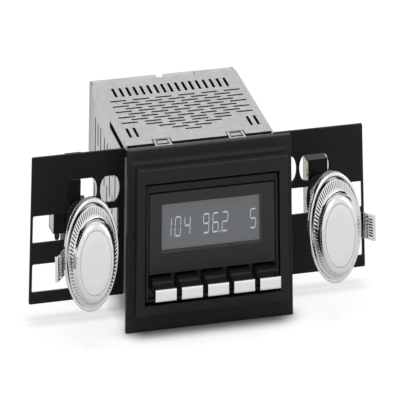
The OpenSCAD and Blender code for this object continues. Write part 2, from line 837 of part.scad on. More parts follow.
// Finger tab: a slanting plate, its inner face cut with three upright grooves near the rim
// and with level ribs in a sunk panel further out
module ring_tab() {
    tab_h = 8.4;
    tilt = 49;
    face = [ring_r + 0.7, -4.3];
    plate_l = 9.2;
    plate_t = 1.9;
    panel = [4.6, plate_l - 1.2];
    function place(u, v) =
        face + [u * cos(tilt) + v * sin(tilt), v * cos(tilt) - u * sin(tilt)];
    difference() {
        along_z(-tab_h / 2, tab_h / 2) polygon(concat(
            [[ring_r - 1, 0.4], [ring_r - 1, -2.6], face],
            [for (u = [0.9:1.2:3.3]) each
                [place(u, 0), place(u, 0.5), place(u + 0.6, 0.5), place(u + 0.6, 0)]],
            [place(plate_l - 0.4, 0), place(plate_l, 0.4), place(plate_l, plate_t),
             place(0.9, plate_t), [ring_r + 1.4, 0.4]]
        ));
        translate(concat(face, 0)) rotate([0, 0, -tilt]) {
            translate([panel[0], -1, -tab_h / 2 + 0.9])
                cube([panel[1] - panel[0], 1.15, tab_h - 1.8]);
            for (i = [0:6]) translate([panel[0], -1, -tab_h / 2 + 1.25 + 0.9 * i])
                cube([panel[1] - panel[0], 1.5, 0.45]);
        }
    }
}

// Ring: a web on the hollow shaft, a smooth front lip and a narrower drum behind it
module ring(drop) {
    turned(0, 0) polygon([
        [tube_r, web[0]], [drum_r - 2.2, web[0]], [drum_r - 2.2, rim_back],
        [drum_r - 0.4, rim_back], [drum_r, rim_back + 0.4], [drum_r, lip_back],
        [ring_r - 0.3, lip_back], [ring_r, lip_back + 0.3], [ring_r, rim_front - 0.8],
        [ring_r - 0.25, rim_front - 0.25], [ring_r - 0.8, rim_front],
        [ring_r - 1.3, rim_front], [ring_r - 1.6, rim_front - 0.3], [ring_r - 1.6, web[1]],
        [tube_r, web[1]]
    ]);
    rotate([0, drop, 0]) ring_tab();
}

module left_ring() {
    at_frame() color([0.85, 0.86, 0.88])
        mirror([1, 0, 0]) translate([shaft_x, rim_y, 0]) ring(tab_drop);
}

module right_ring() {
    at_frame() color([0.85, 0.86, 0.88]) translate([shaft_x, rim_y, 0]) ring(0);
}

module outer_shaft(x) {
    at_frame() color([0.8, 0.75, 0.55])
    difference() {
        union() {
            rod_y(x, 0, tube_r, rim_y - web[1] - 0.6, tube_back);
            rod_y(x, 0, wafer_r, tube_back - 0.8, tube_back);
        }
        rod_y(x, 0, shaft_r + run_gap, rim_y - 5, tube_back + 1);
    }
}

module left_outer_shaft() { outer_shaft(-shaft_x); }

module right_outer_shaft() { outer_shaft(shaft_x); }

module inner_shaft(x) {
    at_frame() color([0.8, 0.8, 0.78]) {
        rod_y(x, 0, shaft_r, rim_y - 12, collar_y[1]);
        rod_y(x, 0, wafer_r, wafer_y, wafer_y + 0.8);
        rod_y(x, 0, shaft_r + 0.9, collar_y[0], collar_y[1]);
    }
}

module left_inner_shaft() { inner_shaft(-shaft_x); }

module right_inner_shaft() { inner_shaft(shaft_x); }

// Sleeve that the push switch's spring holds forwards; the inner shaft turns in it
module push_slider(x) {
    at_frame() color([0.9, 0.88, 0.8])
    difference() {
        rod_y(x, 0, can_r - slide_gap, slider_y[0], slider_y[1]);
        rod_y(x, 0, shaft_r + run_gap, slider_y[0] - 1, slider_y[1] + 1);
    }
}

module left_push_slider() { push_slider(-shaft_x); }

module right_push_slider() { push_slider(shaft_x); }

// Knob: a conical skirt, a steep wall and a crown whose bevel rolls over towards the disc
module knob_profile() {
    roll = crown_edge[0] - disc_r - 0.1;
    top = disc_face - 0.2;
    polygon(concat(
        [[shaft_r, skirt_back], [skirt_r - 0.3, skirt_back], [skirt_r, skirt_back + 0.4],
         [skirt_r, skirt_back + 1], crown_foot],
        [for (a = [0:10:90]) [disc_r + 0.1 + roll * cos(a),
            crown_edge[1] + (top - crown_edge[1]) * sin(a)]],
        [[disc_r + 0.1, disc_face - disc_t],
         [0, disc_face - disc_t], [0, 12], [shaft_r, 12]]
    ));
}

module knob(x) {
    at_frame() color([0.88, 0.88, 0.9]) turned(x, rim_y) knob_profile();
}

module left_knob() { knob(-shaft_x); }

module right_knob() { knob(shaft_x); }

module knob_disc(x) {
    at_frame() color([0.8, 0.8, 0.82])
        rod_y(x, 0, disc_r, front_y, front_y + disc_t);
}

module left_knob_disc() { knob_disc(-shaft_x); }

module right_knob_disc() { knob_disc(shaft_x); }

bezel();
fascia();
window_panel();
window_lens();
lcd_panel();
light_box();
preset_key(0);  // preset_key_1
preset_key(1);  // preset_key_2
preset_key(2);  // preset_key_3
preset_key(3);  // preset_key_4
preset_key(4);  // preset_key_5
preset_cap(0);  // preset_cap_1
preset_cap(1);  // preset_cap_2
preset_cap(2);  // preset_cap_3
preset_cap(3);  // preset_cap_4
preset_cap(4);  // preset_cap_5
display_board();
key_switches();
nose_housing();
inner_screws();
front_frame();
chassis_tray();
top_cover();
rear_panel();
cover_screws();
main_board();
board_standoffs();
tuner_module();
amplifier_chip();
capacitors();
ribbon_cable();
heat_sink();
antenna_socket();
harness_socket();
line_out_sockets();
rear_nut();
rear_stud();
left_bracket();
right_bracket();
bracket_screws();
left_control();
right_control();
left_control_board();
right_control_board();
left_bush();
right_bush();
shaft_nuts();
left_ring();
right_ring();
left_outer_shaft();
right_outer_shaft();
left_push_slider();
right_push_slider();
left_inner_shaft();
right_inner_shaft();
left_knob();
right_knob();
left_knob_disc();
right_knob_disc();
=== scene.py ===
"""Dashboard radio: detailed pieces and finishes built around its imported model, and a small studio.

Lengths are written in millimetres. Distances along Y are counted from the front plane of the
bezel's flange and heights from the shaft axes, as the radio would be measured on a bench.
"""

import json
import math
from contextlib import contextmanager

import bpy
from mathutils import Matrix, Vector


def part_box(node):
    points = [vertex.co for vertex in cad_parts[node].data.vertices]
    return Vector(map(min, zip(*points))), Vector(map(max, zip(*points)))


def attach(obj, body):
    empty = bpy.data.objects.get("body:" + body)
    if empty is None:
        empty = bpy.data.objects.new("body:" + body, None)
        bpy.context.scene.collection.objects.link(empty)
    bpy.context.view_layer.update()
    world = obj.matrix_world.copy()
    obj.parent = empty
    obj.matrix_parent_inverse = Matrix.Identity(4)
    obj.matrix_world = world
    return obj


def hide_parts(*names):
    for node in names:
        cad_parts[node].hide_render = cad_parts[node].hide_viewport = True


bl_info = {
    "name": "Dashboard radio",
    "version": (1, 0, 0),
    "blender": (4, 5, 0),
    "location": "3D View > Sidebar > Radio",
    "description": "Builds the detailed pieces and finishes of a two-shaft dashboard radio",
    "category": "Add Mesh",
}

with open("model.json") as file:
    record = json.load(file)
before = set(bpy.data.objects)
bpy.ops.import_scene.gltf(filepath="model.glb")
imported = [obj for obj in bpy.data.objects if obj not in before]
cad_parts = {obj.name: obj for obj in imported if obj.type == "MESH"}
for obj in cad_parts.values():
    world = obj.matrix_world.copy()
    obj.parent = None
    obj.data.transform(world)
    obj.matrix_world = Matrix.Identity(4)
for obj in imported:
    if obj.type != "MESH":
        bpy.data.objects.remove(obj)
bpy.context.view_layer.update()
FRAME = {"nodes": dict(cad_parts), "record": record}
NODES = FRAME["nodes"]
BODY_OF = {n: b for b, members in FRAME["record"]["behaviour"]["bodies"].items() for n in members}
SLOT_OF = {s["node"]: s["material_slot"] for s in FRAME["record"]["subparts"]}

MM = 0.001
FLANGE_T = 4.0
FLANGE_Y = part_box("bezel")[1].y - FLANGE_T * MM
KNOB_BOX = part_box("left_knob")
AXIS_Z = (KNOB_BOX[0].z + KNOB_BOX[1].z) / 2
SHAFT_X = -(KNOB_BOX[0].x + KNOB_BOX[1].x) / 2 / MM
RIM_Y = -10.1  # the plane that the outlines of the rings and knobs are measured from
SIDES = (("left", -1), ("right", 1))


def at(x, y, z):
    """A point measured from the flange's front plane and the shaft axes, in the frame's metres."""
    return Vector((x * MM, FLANGE_Y + y * MM, AXIS_Z + z * MM))


def bench(point):
    """The reverse of at: a point of the frame in bench millimetres."""
    x, y, z = point
    return Vector((x / MM, (y - FLANGE_Y) / MM, (z - AXIS_Z) / MM))


def bench_box(node):
    """The low and the high corner of a CAD node in bench millimetres."""
    return [bench(corner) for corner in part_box(node)]


def round_shaft(x, y, z):
    """A bench point's radius and turn about the right shaft, and its distance forwards."""
    return math.hypot(x - SHAFT_X, z), math.atan2(z, x - SHAFT_X) / math.tau, RIM_Y - y


# ---- Modelling by hand ----


def deselect():
    if bpy.context.object and bpy.context.object.mode != "OBJECT":
        bpy.ops.object.mode_set(mode="OBJECT")
    bpy.ops.object.select_all(action="DESELECT")


def activate(piece):
    deselect()
    piece.select_set(True)
    bpy.context.view_layer.objects.active = piece


def discard(*pieces):
    for piece in pieces:
        bpy.data.objects.remove(piece)


def named(name):
    """Names the primitive just added and puts its place into its mesh."""
    piece = bpy.context.object
    piece.name = piece.data.name = name
    bpy.ops.object.transform_apply(location=True, rotation=True, scale=True)
    return piece


@contextmanager
def editing(piece):
    """Edit mode with the whole mesh selected."""
    activate(piece)
    bpy.ops.object.mode_set(mode="EDIT")
    bpy.ops.mesh.select_mode(type="VERT")
    bpy.ops.mesh.select_all(action="SELECT")
    yield
    bpy.ops.object.mode_set(mode="OBJECT")


@contextmanager
def chosen(piece, test):
    """Edit mode with those vertices selected for which test(x, y, z), in bench millimetres, is
    true."""
    with editing(piece):
        bpy.ops.mesh.select_all(action="DESELECT")
        bpy.ops.object.mode_set(mode="OBJECT")
        for v in piece.data.vertices:
            v.select = test(*bench(v.co))
        bpy.ops.object.mode_set(mode="EDIT")
        yield


def narrow(piece, test, share, centre=(0, 0, 0), back=0.0):
    """Draws the chosen vertices towards a line along Y through centre, then moves them back."""
    with chosen(piece, test):
        bpy.ops.transform.resize(value=(share, 1, share), center_override=at(*centre))
        bpy.ops.transform.translate(value=(0, back * MM, 0))


def close_up(piece, distance=0.002):
    """Merges doubled points and turns the faces outwards."""
    with editing(piece):
        bpy.ops.mesh.remove_doubles(threshold=distance * MM)
        bpy.ops.mesh.normals_make_consistent(inside=False)
    return piece


def modify(piece, kind, **settings):
    """Adds a modifier with these settings and applies it."""
    activate(piece)
    modifier = piece.modifiers.new(kind.title(), kind)
    for key, value in settings.items():
        setattr(modifier, key, value)
    bpy.ops.object.modifier_apply(modifier=modifier.name)
    return piece


def smooth(piece, angle=35):
    activate(piece)
    bpy.ops.object.shade_smooth_by_angle(angle=math.radians(angle))
    return piece


def soften(piece, width, segments=2, angle=30):
    """Rounds the sharp edges and smooths the shading between them, while large faces keep
    their flat shading."""
    modify(piece, "BEVEL", width=width * MM, segments=segments, limit_method="ANGLE",
           angle_limit=math.radians(angle), miter_outer="MITER_ARC", profile=0.5)
    return modify(smooth(piece), "WEIGHTED_NORMAL", keep_sharp=True, weight=100)


def turn(name, outline, steps, centre=(0, 0, 0), fill=True):
    """Lathes an outline of (radius, distance forwards) about a line along Y through centre.
    A last radius of 0 closes the front, and fill closes the first circle."""
    deselect()
    radius, reach = outline[0]
    x, y, z = at(*centre)
    bpy.ops.mesh.primitive_circle_add(vertices=steps, radius=radius * MM,
                                      location=(x, y - reach * MM, z),
                                      rotation=(math.pi / 2, 0, 0))
    piece = named(name)
    with editing(piece):
        if fill:
            bpy.ops.mesh.edge_face_add()
            bpy.ops.mesh.select_mode(type="EDGE")
            bpy.ops.mesh.select_all(action="SELECT")
        for next_radius, next_reach in outline[1:]:
            bpy.ops.mesh.extrude_edges_move(
                TRANSFORM_OT_translate={"value": (0, (reach - next_reach) * MM, 0)})
            if next_radius:
                k = next_radius / radius
                bpy.ops.transform.resize(value=(k, 1, k),
                                         center_override=(x, y - next_reach * MM, z))
            else:
                bpy.ops.mesh.merge(type="CENTER")
            radius, reach = next_radius, next_reach
    return close_up(piece)


def plug(name, outline, steps):
    """Lathes a closed solid whose front is flat."""
    piece = turn(name, outline, steps)
    front = 0.005 - outline[-1][1]
    with chosen(piece, lambda x, y, z: y < front):
        bpy.ops.mesh.edge_face_add()
    return piece


def prism(name, outline, axis, start, end):
    """Draws a flat outline from a circle's points and extrudes it along one axis."""
    deselect()
    bpy.ops.mesh.primitive_circle_add(vertices=len(outline), radius=1, fill_type="NGON")
    piece = named(name)
    for v, (a, b) in zip(piece.data.vertices, outline):
        v.co = {"x": at(start, a, b), "y": at(a, start, b), "z": at(a, b, start)}[axis]
    step = Vector([(end - start) * MM * (axis == k) for k in "xyz"])
    with editing(piece):
        bpy.ops.mesh.extrude_region_move(TRANSFORM_OT_translate={"value": step})
    return close_up(piece)


def block(name, low, high):
    deselect()
    a, b = at(*low), at(*high)
    bpy.ops.mesh.primitive_cube_add(size=1, location=(a + b) / 2, scale=b - a)
    return named(name)


def arc(angles, wide, tall, centre):
    """Outline points on an ellipse."""
    x, y = centre
    return [(x + wide * math.cos(math.radians(a)), y + tall * math.sin(math.radians(a)))
            for a in angles]


def thread(radius, start, end, pitch, depth):
    """Outline points of a cut thread between two distances."""
    turns = max(1, round(abs(end - start) / pitch))
    step = (end - start) / turns
    points = []
    for i in range(turns):
        points += [(radius, start + step * (i + 0.1)), (radius - depth, start + step * (i + 0.5)),
                   (radius, start + step * (i + 0.9))]
    return points


def copied(piece, name, matrix=None):
    """A copy with its own mesh, moved there."""
    twin = piece.copy()
    twin.data = piece.data.copy()
    twin.name = twin.data.name = name
    twin.parent = None
    for key in list(twin.keys()):
        del twin[key]
    bpy.context.scene.collection.objects.link(twin)
    if matrix:
        twin.data.transform(matrix)
        if matrix.determinant() < 0:
            twin.data.flip_normals()
    return twin


def swap_side(piece, name):
    """The same piece on the other side of the radio."""
    return copied(piece, name, Matrix.Diagonal((-1, 1, 1, 1)))


FACING = {way: Matrix.Rotation(math.radians(angle), 4, axis) for way, angle, axis in (
    ("front", 0, "Z"), ("right", 90, "Z"), ("left", -90, "Z"), ("back", 180, "Z"),
    ("up", -90, "X"))}


def placed(piece, name, spot, facing="front"):
    """A copy of a piece made at the bench's origin facing the front, put there and turned."""
    home = Matrix.Translation(-at(0, 0, 0))
    return copied(piece, name, Matrix.Translation(at(*spot)) @ FACING[facing] @ home)


def joined(pieces, name):
    activate(pieces[0])
    for piece in pieces[1:]:
        piece.select_set(True)
    bpy.ops.object.join()
    pieces[0].name = pieces[0].data.name = name
    return pieces[0]


def cut(piece, cutter, operation="DIFFERENCE"):
    modify(piece, "BOOLEAN", object=cutter, operation=operation, solver="EXACT")
    discard(cutter)
    return piece


def shown_area(piece):
    piece.data.calc_loop_triangles()
    return sum(t.area for t in piece.data.loop_triangles)


def from_cad(node, name, width, angle=30, segments=2):
    """A closed copy of a CAD node with rounded edges. Its triangles are merged into flat faces,
    or into quads where a flat face has holes that it would be drawn across."""
    piece = close_up(copied(NODES[node], name), 0.001)
    area = shown_area(piece)
    whole = piece.data.copy()
    with editing(piece):
        bpy.ops.mesh.dissolve_limited(angle_limit=math.radians(0.5))
    if abs(shown_area(piece) / area - 1) > 0.001:
        piece.data = whole
        with editing(piece):
            bpy.ops.mesh.tris_convert_to_quads(face_threshold=math.radians(1),
                                               shape_threshold=math.radians(90))
    return soften(piece, width, segments, angle)


# ---- Finishes ----


def fill_in(node, values):
    """Links a node's inputs to sockets, or sets them to plain values."""
    for key, value in values.items():
        if isinstance(value, bpy.types.NodeSocket):
            node.id_data.links.new(value, node.inputs[key])
        else:
            node.inputs[key].default_value = value
    return node


def add(kind, inputs, **settings):
    """A shader node in the tree of the sockets that feed it."""
    source = next(v for v in inputs.values() if isinstance(v, bpy.types.NodeSocket))
    node = source.id_data.nodes.new("ShaderNode" + kind)
    for key, value in settings.items():
        setattr(node, key, value)
    return fill_in(node, inputs)


def maths(operation, *values):
    return add("Math", dict(enumerate(values)), operation=operation).outputs[0]


def vector_maths(operation, inputs):
    return add("VectorMath", inputs, operation=operation).outputs


def wander(value, amount, middle):
    """The middle level, moved by an amount times how far a value is from a half."""
    return maths("MULTIPLY_ADD", maths("SUBTRACT", value, 0.5), amount, middle)


def noise(place, scale, detail=2.0, **inputs):
    inputs.update({"Vector": place, "Scale": scale, "Detail": detail})
    return add("TexNoise", inputs).outputs["Fac"]


def remap(value, low, high, to_low=0.0, to_high=1.0):
    return add("MapRange", {"Value": value, "From Min": low, "From Max": high,
                            "To Min": to_low, "To Max": to_high}).outputs[0]


def mix(factor, first, second, blend="MIX"):
    return add("Mix", {"Factor": factor, 6: first, 7: second}, data_type="RGBA",
               blend_type=blend).outputs[2]


def speckle(value, colour, dim):
    """A colour that dips to a dim share of itself where the value is low."""
    node = add("ValToRGB", {"Fac": value})
    for element, place, share in zip(node.color_ramp.elements, (0.3, 0.7), (dim, 1)):
        element.position = place
        element.color = (*[c * share for c in colour], 1)
    return node.outputs["Color"]


KINDS = {"Vector": "NodeSocketVector", "Colour": "NodeSocketColor"}


def new_group(name, inputs, outputs):
    """An empty group with sockets of these labels, which are numbers unless KINDS names them."""
    tree = bpy.data.node_groups.new(name, "ShaderNodeTree")
    for labels, way in ((inputs, "INPUT"), (outputs, "OUTPUT")):
        for label in labels:
            tree.interface.new_socket(name=label, in_out=way,
                                      socket_type=KINDS.get(label, "NodeSocketFloat"))
    return tree, tree.nodes.new("NodeGroupInput").outputs, tree.nodes.new("NodeGroupOutput")


def moulded_grain():
    """Fine spark-eroded texture of a moulding, with slight cloudiness in its colour."""
    tree, given, out = new_group(
        "Moulded grain", ("Vector", "Colour", "Grain", "Cloudiness", "Roughness", "Spread"),
        ("Colour", "Roughness", "Height"))
    cloud = noise(given["Vector"], 42.0, 4.0, Roughness=0.6)
    level = wander(cloud, given["Cloudiness"], 1.0)
    fill_in(out, {"Colour": mix(1.0, given["Colour"], level, "MULTIPLY"),
                  "Roughness": wander(cloud, given["Spread"], given["Roughness"]),
                  "Height": noise(given["Vector"], given["Grain"])})
    return tree


def rolled_sheet():
    """Galvanised or rolled sheet: soft crystal patches and lines along the rolling way."""
    tree, given, out = new_group(
        "Rolled sheet", ("Vector", "Colour", "Patch size", "Patches", "Lines", "Roughness"),
        ("Colour", "Roughness", "Height"))
    place = given["Vector"]
    bent = add("TexNoise", {"Vector": place, "Scale": 160.0}).outputs["Color"]
    shift = vector_maths("SCALE", {0: bent, "Scale": 0.004})[0]
    cells = add("TexVoronoi", {"Vector": vector_maths("ADD", {0: place, 1: shift})[0],
                               "Scale": given["Patch size"]}).outputs["Color"]
    grey = add("RGBToBW", {"Color": cells}).outputs[0]
    stretch = add("Mapping", {"Vector": place, "Scale": (3200.0, 24.0, 900.0)}).outputs[0]
    lines = noise(stretch, 1.0, 3.0)
    level = wander(lines, given["Lines"], wander(grey, given["Patches"], 1.0))
    fill_in(out, {"Colour": mix(1.0, given["Colour"], level, "MULTIPLY"),
                  "Roughness": maths("ADD", maths("MULTIPLY", grey, 0.07), given["Roughness"]),
                  "Height": lines})
    return tree


def handling():
    """Faint smears and hairline scratches that handling leaves on a polished surface."""
    tree, given, out = new_group("Handling marks", ("Vector", "Roughness", "Smear"),
                                 ("Roughness", "Height"))
    smear = remap(noise(given["Vector"], 70.0, 5.0, Roughness=0.65), 0.45, 0.75)
    rough = maths("MULTIPLY_ADD", smear, given["Smear"], given["Roughness"])
    fill_in(out, {"Roughness": rough, "Height": noise(given["Vector"], 1500.0, Distortion=3.0)})
    return tree


def edge_rub():
    """Mask of the outer edges, where a finish rubs thin; on the bezel the lighter edges are also a
    painted highlight.
    """
    tree, given, out = new_group("Edge rub", ("Vector", "Width", "Amount"), ("Mask",))
    soft = add("Bevel", {"Radius": given["Width"]}, samples=4).outputs[0]
    sharp = tree.nodes.new("ShaderNodeNewGeometry").outputs["Normal"]
    edge = remap(vector_maths("DOT_PRODUCT", {0: soft, 1: sharp})["Value"], 0.99, 0.86)
    patch = remap(noise(given["Vector"], 260.0, 4.0), 0.4, 0.65)
    mask = maths("MULTIPLY", maths("MULTIPLY", edge, patch), given["Amount"])
    fill_in(out, {"Mask": mask})
    return tree


GROUPS = {}


def effect(label, inputs):
    return add("Group", inputs, node_tree=GROUPS[label]).outputs


def new_material(name, **values):
    """A material with its Principled shader's plain values set, and its Object coordinates."""
    material = bpy.data.materials.new(name)
    material.use_nodes = True
    nodes = material.node_tree.nodes
    shader = fill_in(nodes["Principled BSDF"],
                     {key.replace("_", " "): value for key, value in values.items()})
    return material, shader, nodes.new("ShaderNodeTexCoord").outputs["Object"]


def bump(shader, height, strength, depth):
    ridges = add("Bump", {"Height": height, "Strength": strength, "Distance": depth * MM})
    fill_in(shader, {"Normal": ridges.outputs[0]})


def moulding(name, colour, roughness, grain=2600.0, depth=0.02, cloud=0.25, rub=0.0,
             strength=0.35, spread=0.08, gloss=0.5, **values):
    material, shader, place = new_material(name, Specular_IOR_Level=gloss, **values)
    grained = effect("moulded", {"Vector": place, "Colour": (*colour, 1), "Grain": grain,
                                 "Cloudiness": cloud, "Roughness": roughness,
                                 "Spread": spread})
    tone = grained["Colour"]
    # Edges lightened towards a rubbed grey: wear, and on the bezel also a painted highlight
    if rub:
        worn_and_sheen = effect("rub", {"Vector": place, "Width": 0.4 * MM, "Amount": rub})
        tone = mix(worn_and_sheen["Mask"], tone, (0.22, 0.21, 0.19, 1))
    fill_in(shader, {"Base Color": tone, "Roughness": grained["Roughness"]})
    bump(shader, grained["Height"], strength, depth)
    return material


def sheet_metal(name, colour, roughness, patches, lines, size=240.0):
    material, shader, place = new_material(name, Metallic=1.0)
    rolled = effect("rolled", {"Vector": place, "Colour": (*colour, 1), "Patch size": size,
                               "Patches": patches, "Lines": lines, "Roughness": roughness})
    fill_in(shader, {"Base Color": rolled["Colour"], "Roughness": rolled["Roughness"]})
    bump(shader, rolled["Height"], 0.12, 0.01)
    return material


def plating(name, colour, roughness, smear):
    material, shader, place = new_material(name, Metallic=1.0, Base_Color=(*colour, 1))
    marks = effect("marks", {"Vector": place, "Roughness": roughness, "Smear": smear})
    fill_in(shader, {"Roughness": marks["Roughness"]})
    bump(shader, marks["Height"], 0.02, 0.004)
    return material


def spun_disc(name, colour, side):
    """Fine circles round the knob's axis on a satin silver disc."""
    material, shader, place = new_material(name, Metallic=1.0)
    x, _, z = at(side * SHAFT_X, 0, 0)
    centre = add("Mapping", {"Vector": place, "Location": (-x, 0, -z)}).outputs[0]
    flat = vector_maths("MULTIPLY", {0: centre, 1: (1, 0, 1)})[0]
    radius = vector_maths("LENGTH", {0: flat})["Value"]
    lines = add("TexNoise", {"W": radius, "Scale": 5200.0, "Detail": 2.0},
                noise_dimensions="1D").outputs["Fac"]
    fill_in(shader, {"Base Color": speckle(lines, colour, 0.93),
                     "Roughness": remap(lines, 0.0, 1.0, 0.26, 0.4)})
    bump(shader, lines, 0.12, 0.006)
    return material


def circuit_board(name, colour):
    """Lacquered board with lighter copper runs under the lacquer."""
    material, shader, place = new_material(name, Roughness=0.3, Coat_Weight=0.3)
    tones = {"Color1": 1, "Color2": 0.8, "Mortar": 2.2}
    runs = add("TexBrick", {"Vector": place, "Scale": 260.0, "Mortar Size": 0.03} | {
        key: (*[min(1, c * share) for c in colour], 1) for key, share in tones.items()}).outputs
    fill_in(shader, {"Base Color": runs["Color"]})
    bump(shader, runs["Fac"], 0.2, 0.03)
    return material


def clear_lens(name):
    material, shader, place = new_material(name, Base_Color=(0.86, 0.87, 0.88, 1),
                                           Transmission_Weight=1.0, IOR=1.46)
    marks = effect("marks", {"Vector": place, "Roughness": 0.02, "Smear": 0.03})
    fill_in(shader, {"Roughness": marks["Roughness"]})
    return material


def lit_segment(name, colour):
    """The pale cells of the display, lit a little from behind."""
    material, shader, place = new_material(name, Roughness=0.5, Emission_Strength=0.35,
                                           Emission_Color=(*colour, 1))
    fill_in(shader, {"Base Color": speckle(noise(place, 900.0), colour, 0.9)})
    return material


MATERIALS = {}


def make_finishes(colours):
    GROUPS.update(moulded=moulded_grain(), rolled=rolled_sheet(), marks=handling(),
                  rub=edge_rub())
    MATERIALS.update(
        # The bezel's lighter edges are partly wear and partly a painted highlight
        bezel_black=moulding("Bezel black", colours.bezel, 0.42, rub=0.12, gloss=0.3),
        panel_black=moulding("Smoked panel", colours.panel, 0.4, 1800.0, 0.004, 0.05,
                             strength=0.05, spread=0.04, gloss=0.12),
        # A faint glow as of a backlight, which is also painted light lifting the recess's shade
        lcd_grey=moulding("Display glass", colours.display, 0.5, 1200.0, 0.001, 0.03,
                          strength=0.01, gloss=0.2, Emission_Color=(0.93, 0.97, 1.0, 1),
                          Emission_Strength=0.07),
        # Painted shade: the display colour darkened, for the strip the window's recess shades
        lcd_edge=moulding("Display painted shade", [c * 0.06 for c in colours.display], 0.5, 1200.0,
                          0.001, 0.03, gloss=0.2),
        lcd_digit=lit_segment("Display cells", (0.86, 0.88, 0.88)),
        lens_clear=clear_lens("Clear lens"),
        key_black=moulding("Polished black", (0.011, 0.011, 0.015), 0.14, 1500.0, 0.004, 0.1,
                           strength=0.04, spread=0.05, gloss=0.3),
        # Painted shade: a near-black given to grooves, vent walls and inside faces where shade falls
        shade=moulding("Shaded hollow", (0.02, 0.02, 0.021), 0.5, 1800.0, cloud=0.1, gloss=0.2),
        cap_chrome=plating("Cap plating", (0.98, 0.98, 0.99), 0.1, 0.05),
        knob_chrome=plating("Knob plating", (0.88, 0.885, 0.9), 0.03, 0.04),
        chassis_steel=sheet_metal("Galvanised sheet", colours.sheet, 0.46, 0.11, 0.05),
        sink_aluminium=sheet_metal("Extruded aluminium", (0.88, 0.89, 0.88), 0.55, 0.04, 0.1),
        zinc_steel=sheet_metal("Zinc plate", (0.68, 0.68, 0.66), 0.25, 0.1, 0.05, 500.0),
        tin_can=sheet_metal("Tinned sheet", (0.74, 0.74, 0.72), 0.22, 0.08, 0.05),
        brass=sheet_metal("Turned brass", (0.76, 0.6, 0.32), 0.22, 0.05, 0.12),
        bracket_black=moulding("Black oxide", colours.bracket, 0.45, 900.0, 0.02, 0.35,
                               rub=0.2, strength=0.2, spread=0.16, gloss=0.22),
        control_black=moulding("Control moulding", (0.005, 0.005, 0.005), 0.4, 2000.0,
                               gloss=0.25),
        component_black=moulding("Component black", (0.018, 0.018, 0.018), 0.5, 2000.0),
        white_plastic=moulding("White moulding", (0.78, 0.78, 0.75), 0.4, 1500.0, cloud=0.06),
        capacitor_sleeve=moulding("Capacitor sleeve", (0.02, 0.03, 0.1), 0.25, 1500.0, 0.004),
        ribbon_grey=moulding("Flat cable grey", (0.5, 0.5, 0.48), 0.5, 1500.0),
        circuit_board=circuit_board("Circuit board", (0.02, 0.11, 0.045)))
    for side, s in SIDES:
        MATERIALS["disc_" + side] = spun_disc("Spun disc " + side, (0.98, 0.98, 0.99), s)


def finish(piece, slot, side=None):
    """Gives a piece its material. A second one that some faces were given, mostly the painted shade,
    is kept.
    """
    key = "disc_" + side if slot == "disc_brushed" else slot
    if not piece.data.materials:
        piece.data.materials.append(None)
    piece.data.materials[0] = MATERIALS[key]


def tint(piece, test, key="shade"):
    """Gives a second material to the faces for which test(centre, normal) is true, the centre
    in bench millimetres. By default it is the painted shade, a near-black that darkens faces
    where shade falls."""
    slots = piece.data.materials
    while len(slots) < 2:
        slots.append(None)
    slots[1] = MATERIALS[key]
    for face in piece.data.polygons:
        if test(bench(face.center), face.normal):
            face.material_index = 1
    return piece


def stand_for(piece, node, side=None):
    """Finishes a piece and lets it stand for a CAD node on that node's body."""
    finish(piece, SLOT_OF[node], side)
    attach(piece, BODY_OF[node])
    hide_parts(node)


def round_off(node, name, *settings):
    """Lets a rounded copy of a CAD node stand for it."""
    stand_for(from_cad(node, name, *settings), node)


def fix_to(piece, node, slot, look=None):
    """Finishes a piece that stands for no CAD node, and fixes it to the body of one."""
    finish(piece, look or slot)
    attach(piece, BODY_OF[node])


# ---- Sizes and colours that a user would change ----


def count(label, words, value):
    return bpy.props.IntProperty(name=label, description=f"Number of {words}", default=value)


def length(label, words, value):
    return bpy.props.FloatProperty(name=label, description=f"{words}, in millimetres",
                                   default=value, min=0.0)


def colour(label, words, value):
    return bpy.props.FloatVectorProperty(name=label, description=f"Colour of the {words}",
                                         default=value, subtype="COLOR", min=0.0, max=1.0)


class RadioSizes(bpy.types.PropertyGroup):
    knob_ribs: count("Knob ribs", "ribs round a knob's skirt", 76)
    ring_ribs: count("Ring ribs", "ribs round a control ring", 108)
    edge_round: length("Edge rounding", "Rounding of moulded edges", 0.35)
    sheet_round: length("Sheet rounding", "Rounding of cut sheet edges", 0.12)
    cell_pitch: length("Cell pitch", "Distance between display figures", 6.6)
    reading: bpy.props.StringProperty(name="Reading", default="104 96.2  5",
                                      description="Plain figures that the display shows")


class RadioColours(bpy.types.PropertyGroup):
    bezel: colour("Bezel", "bezel moulding", (0.013, 0.013, 0.0135))
    panel: colour("Panel", "smoked panel", (0.057, 0.057, 0.058))
    display: colour("Display", "display glass", (0.165, 0.174, 0.185))
    sheet: colour("Sheet", "chassis sheet", (0.83, 0.83, 0.82))
    bracket: colour("Brackets", "brackets", (0.0115, 0.0105, 0.0085))
    floor: colour("Floor", "floor and backdrop", (0.9, 0.9, 0.9))


# ---- Pieces ----


class PieceOperator:
    bl_options = {"REGISTER", "UNDO"}

    def execute(self, context):
        self.build(context.scene.radio_sizes)
        return {"FINISHED"}


class RADIO_OT_finishes(PieceOperator, bpy.types.Operator):
    """Make the finishes and give them to the plain CAD nodes"""
    bl_idname = "radio.finishes"
    bl_label = "Finishes"

    def build(self, sizes):
        make_finishes(bpy.context.scene.radio_colours)
        for node, obj in NODES.items():
            finish(obj, SLOT_OF[node], node.split("_")[0])


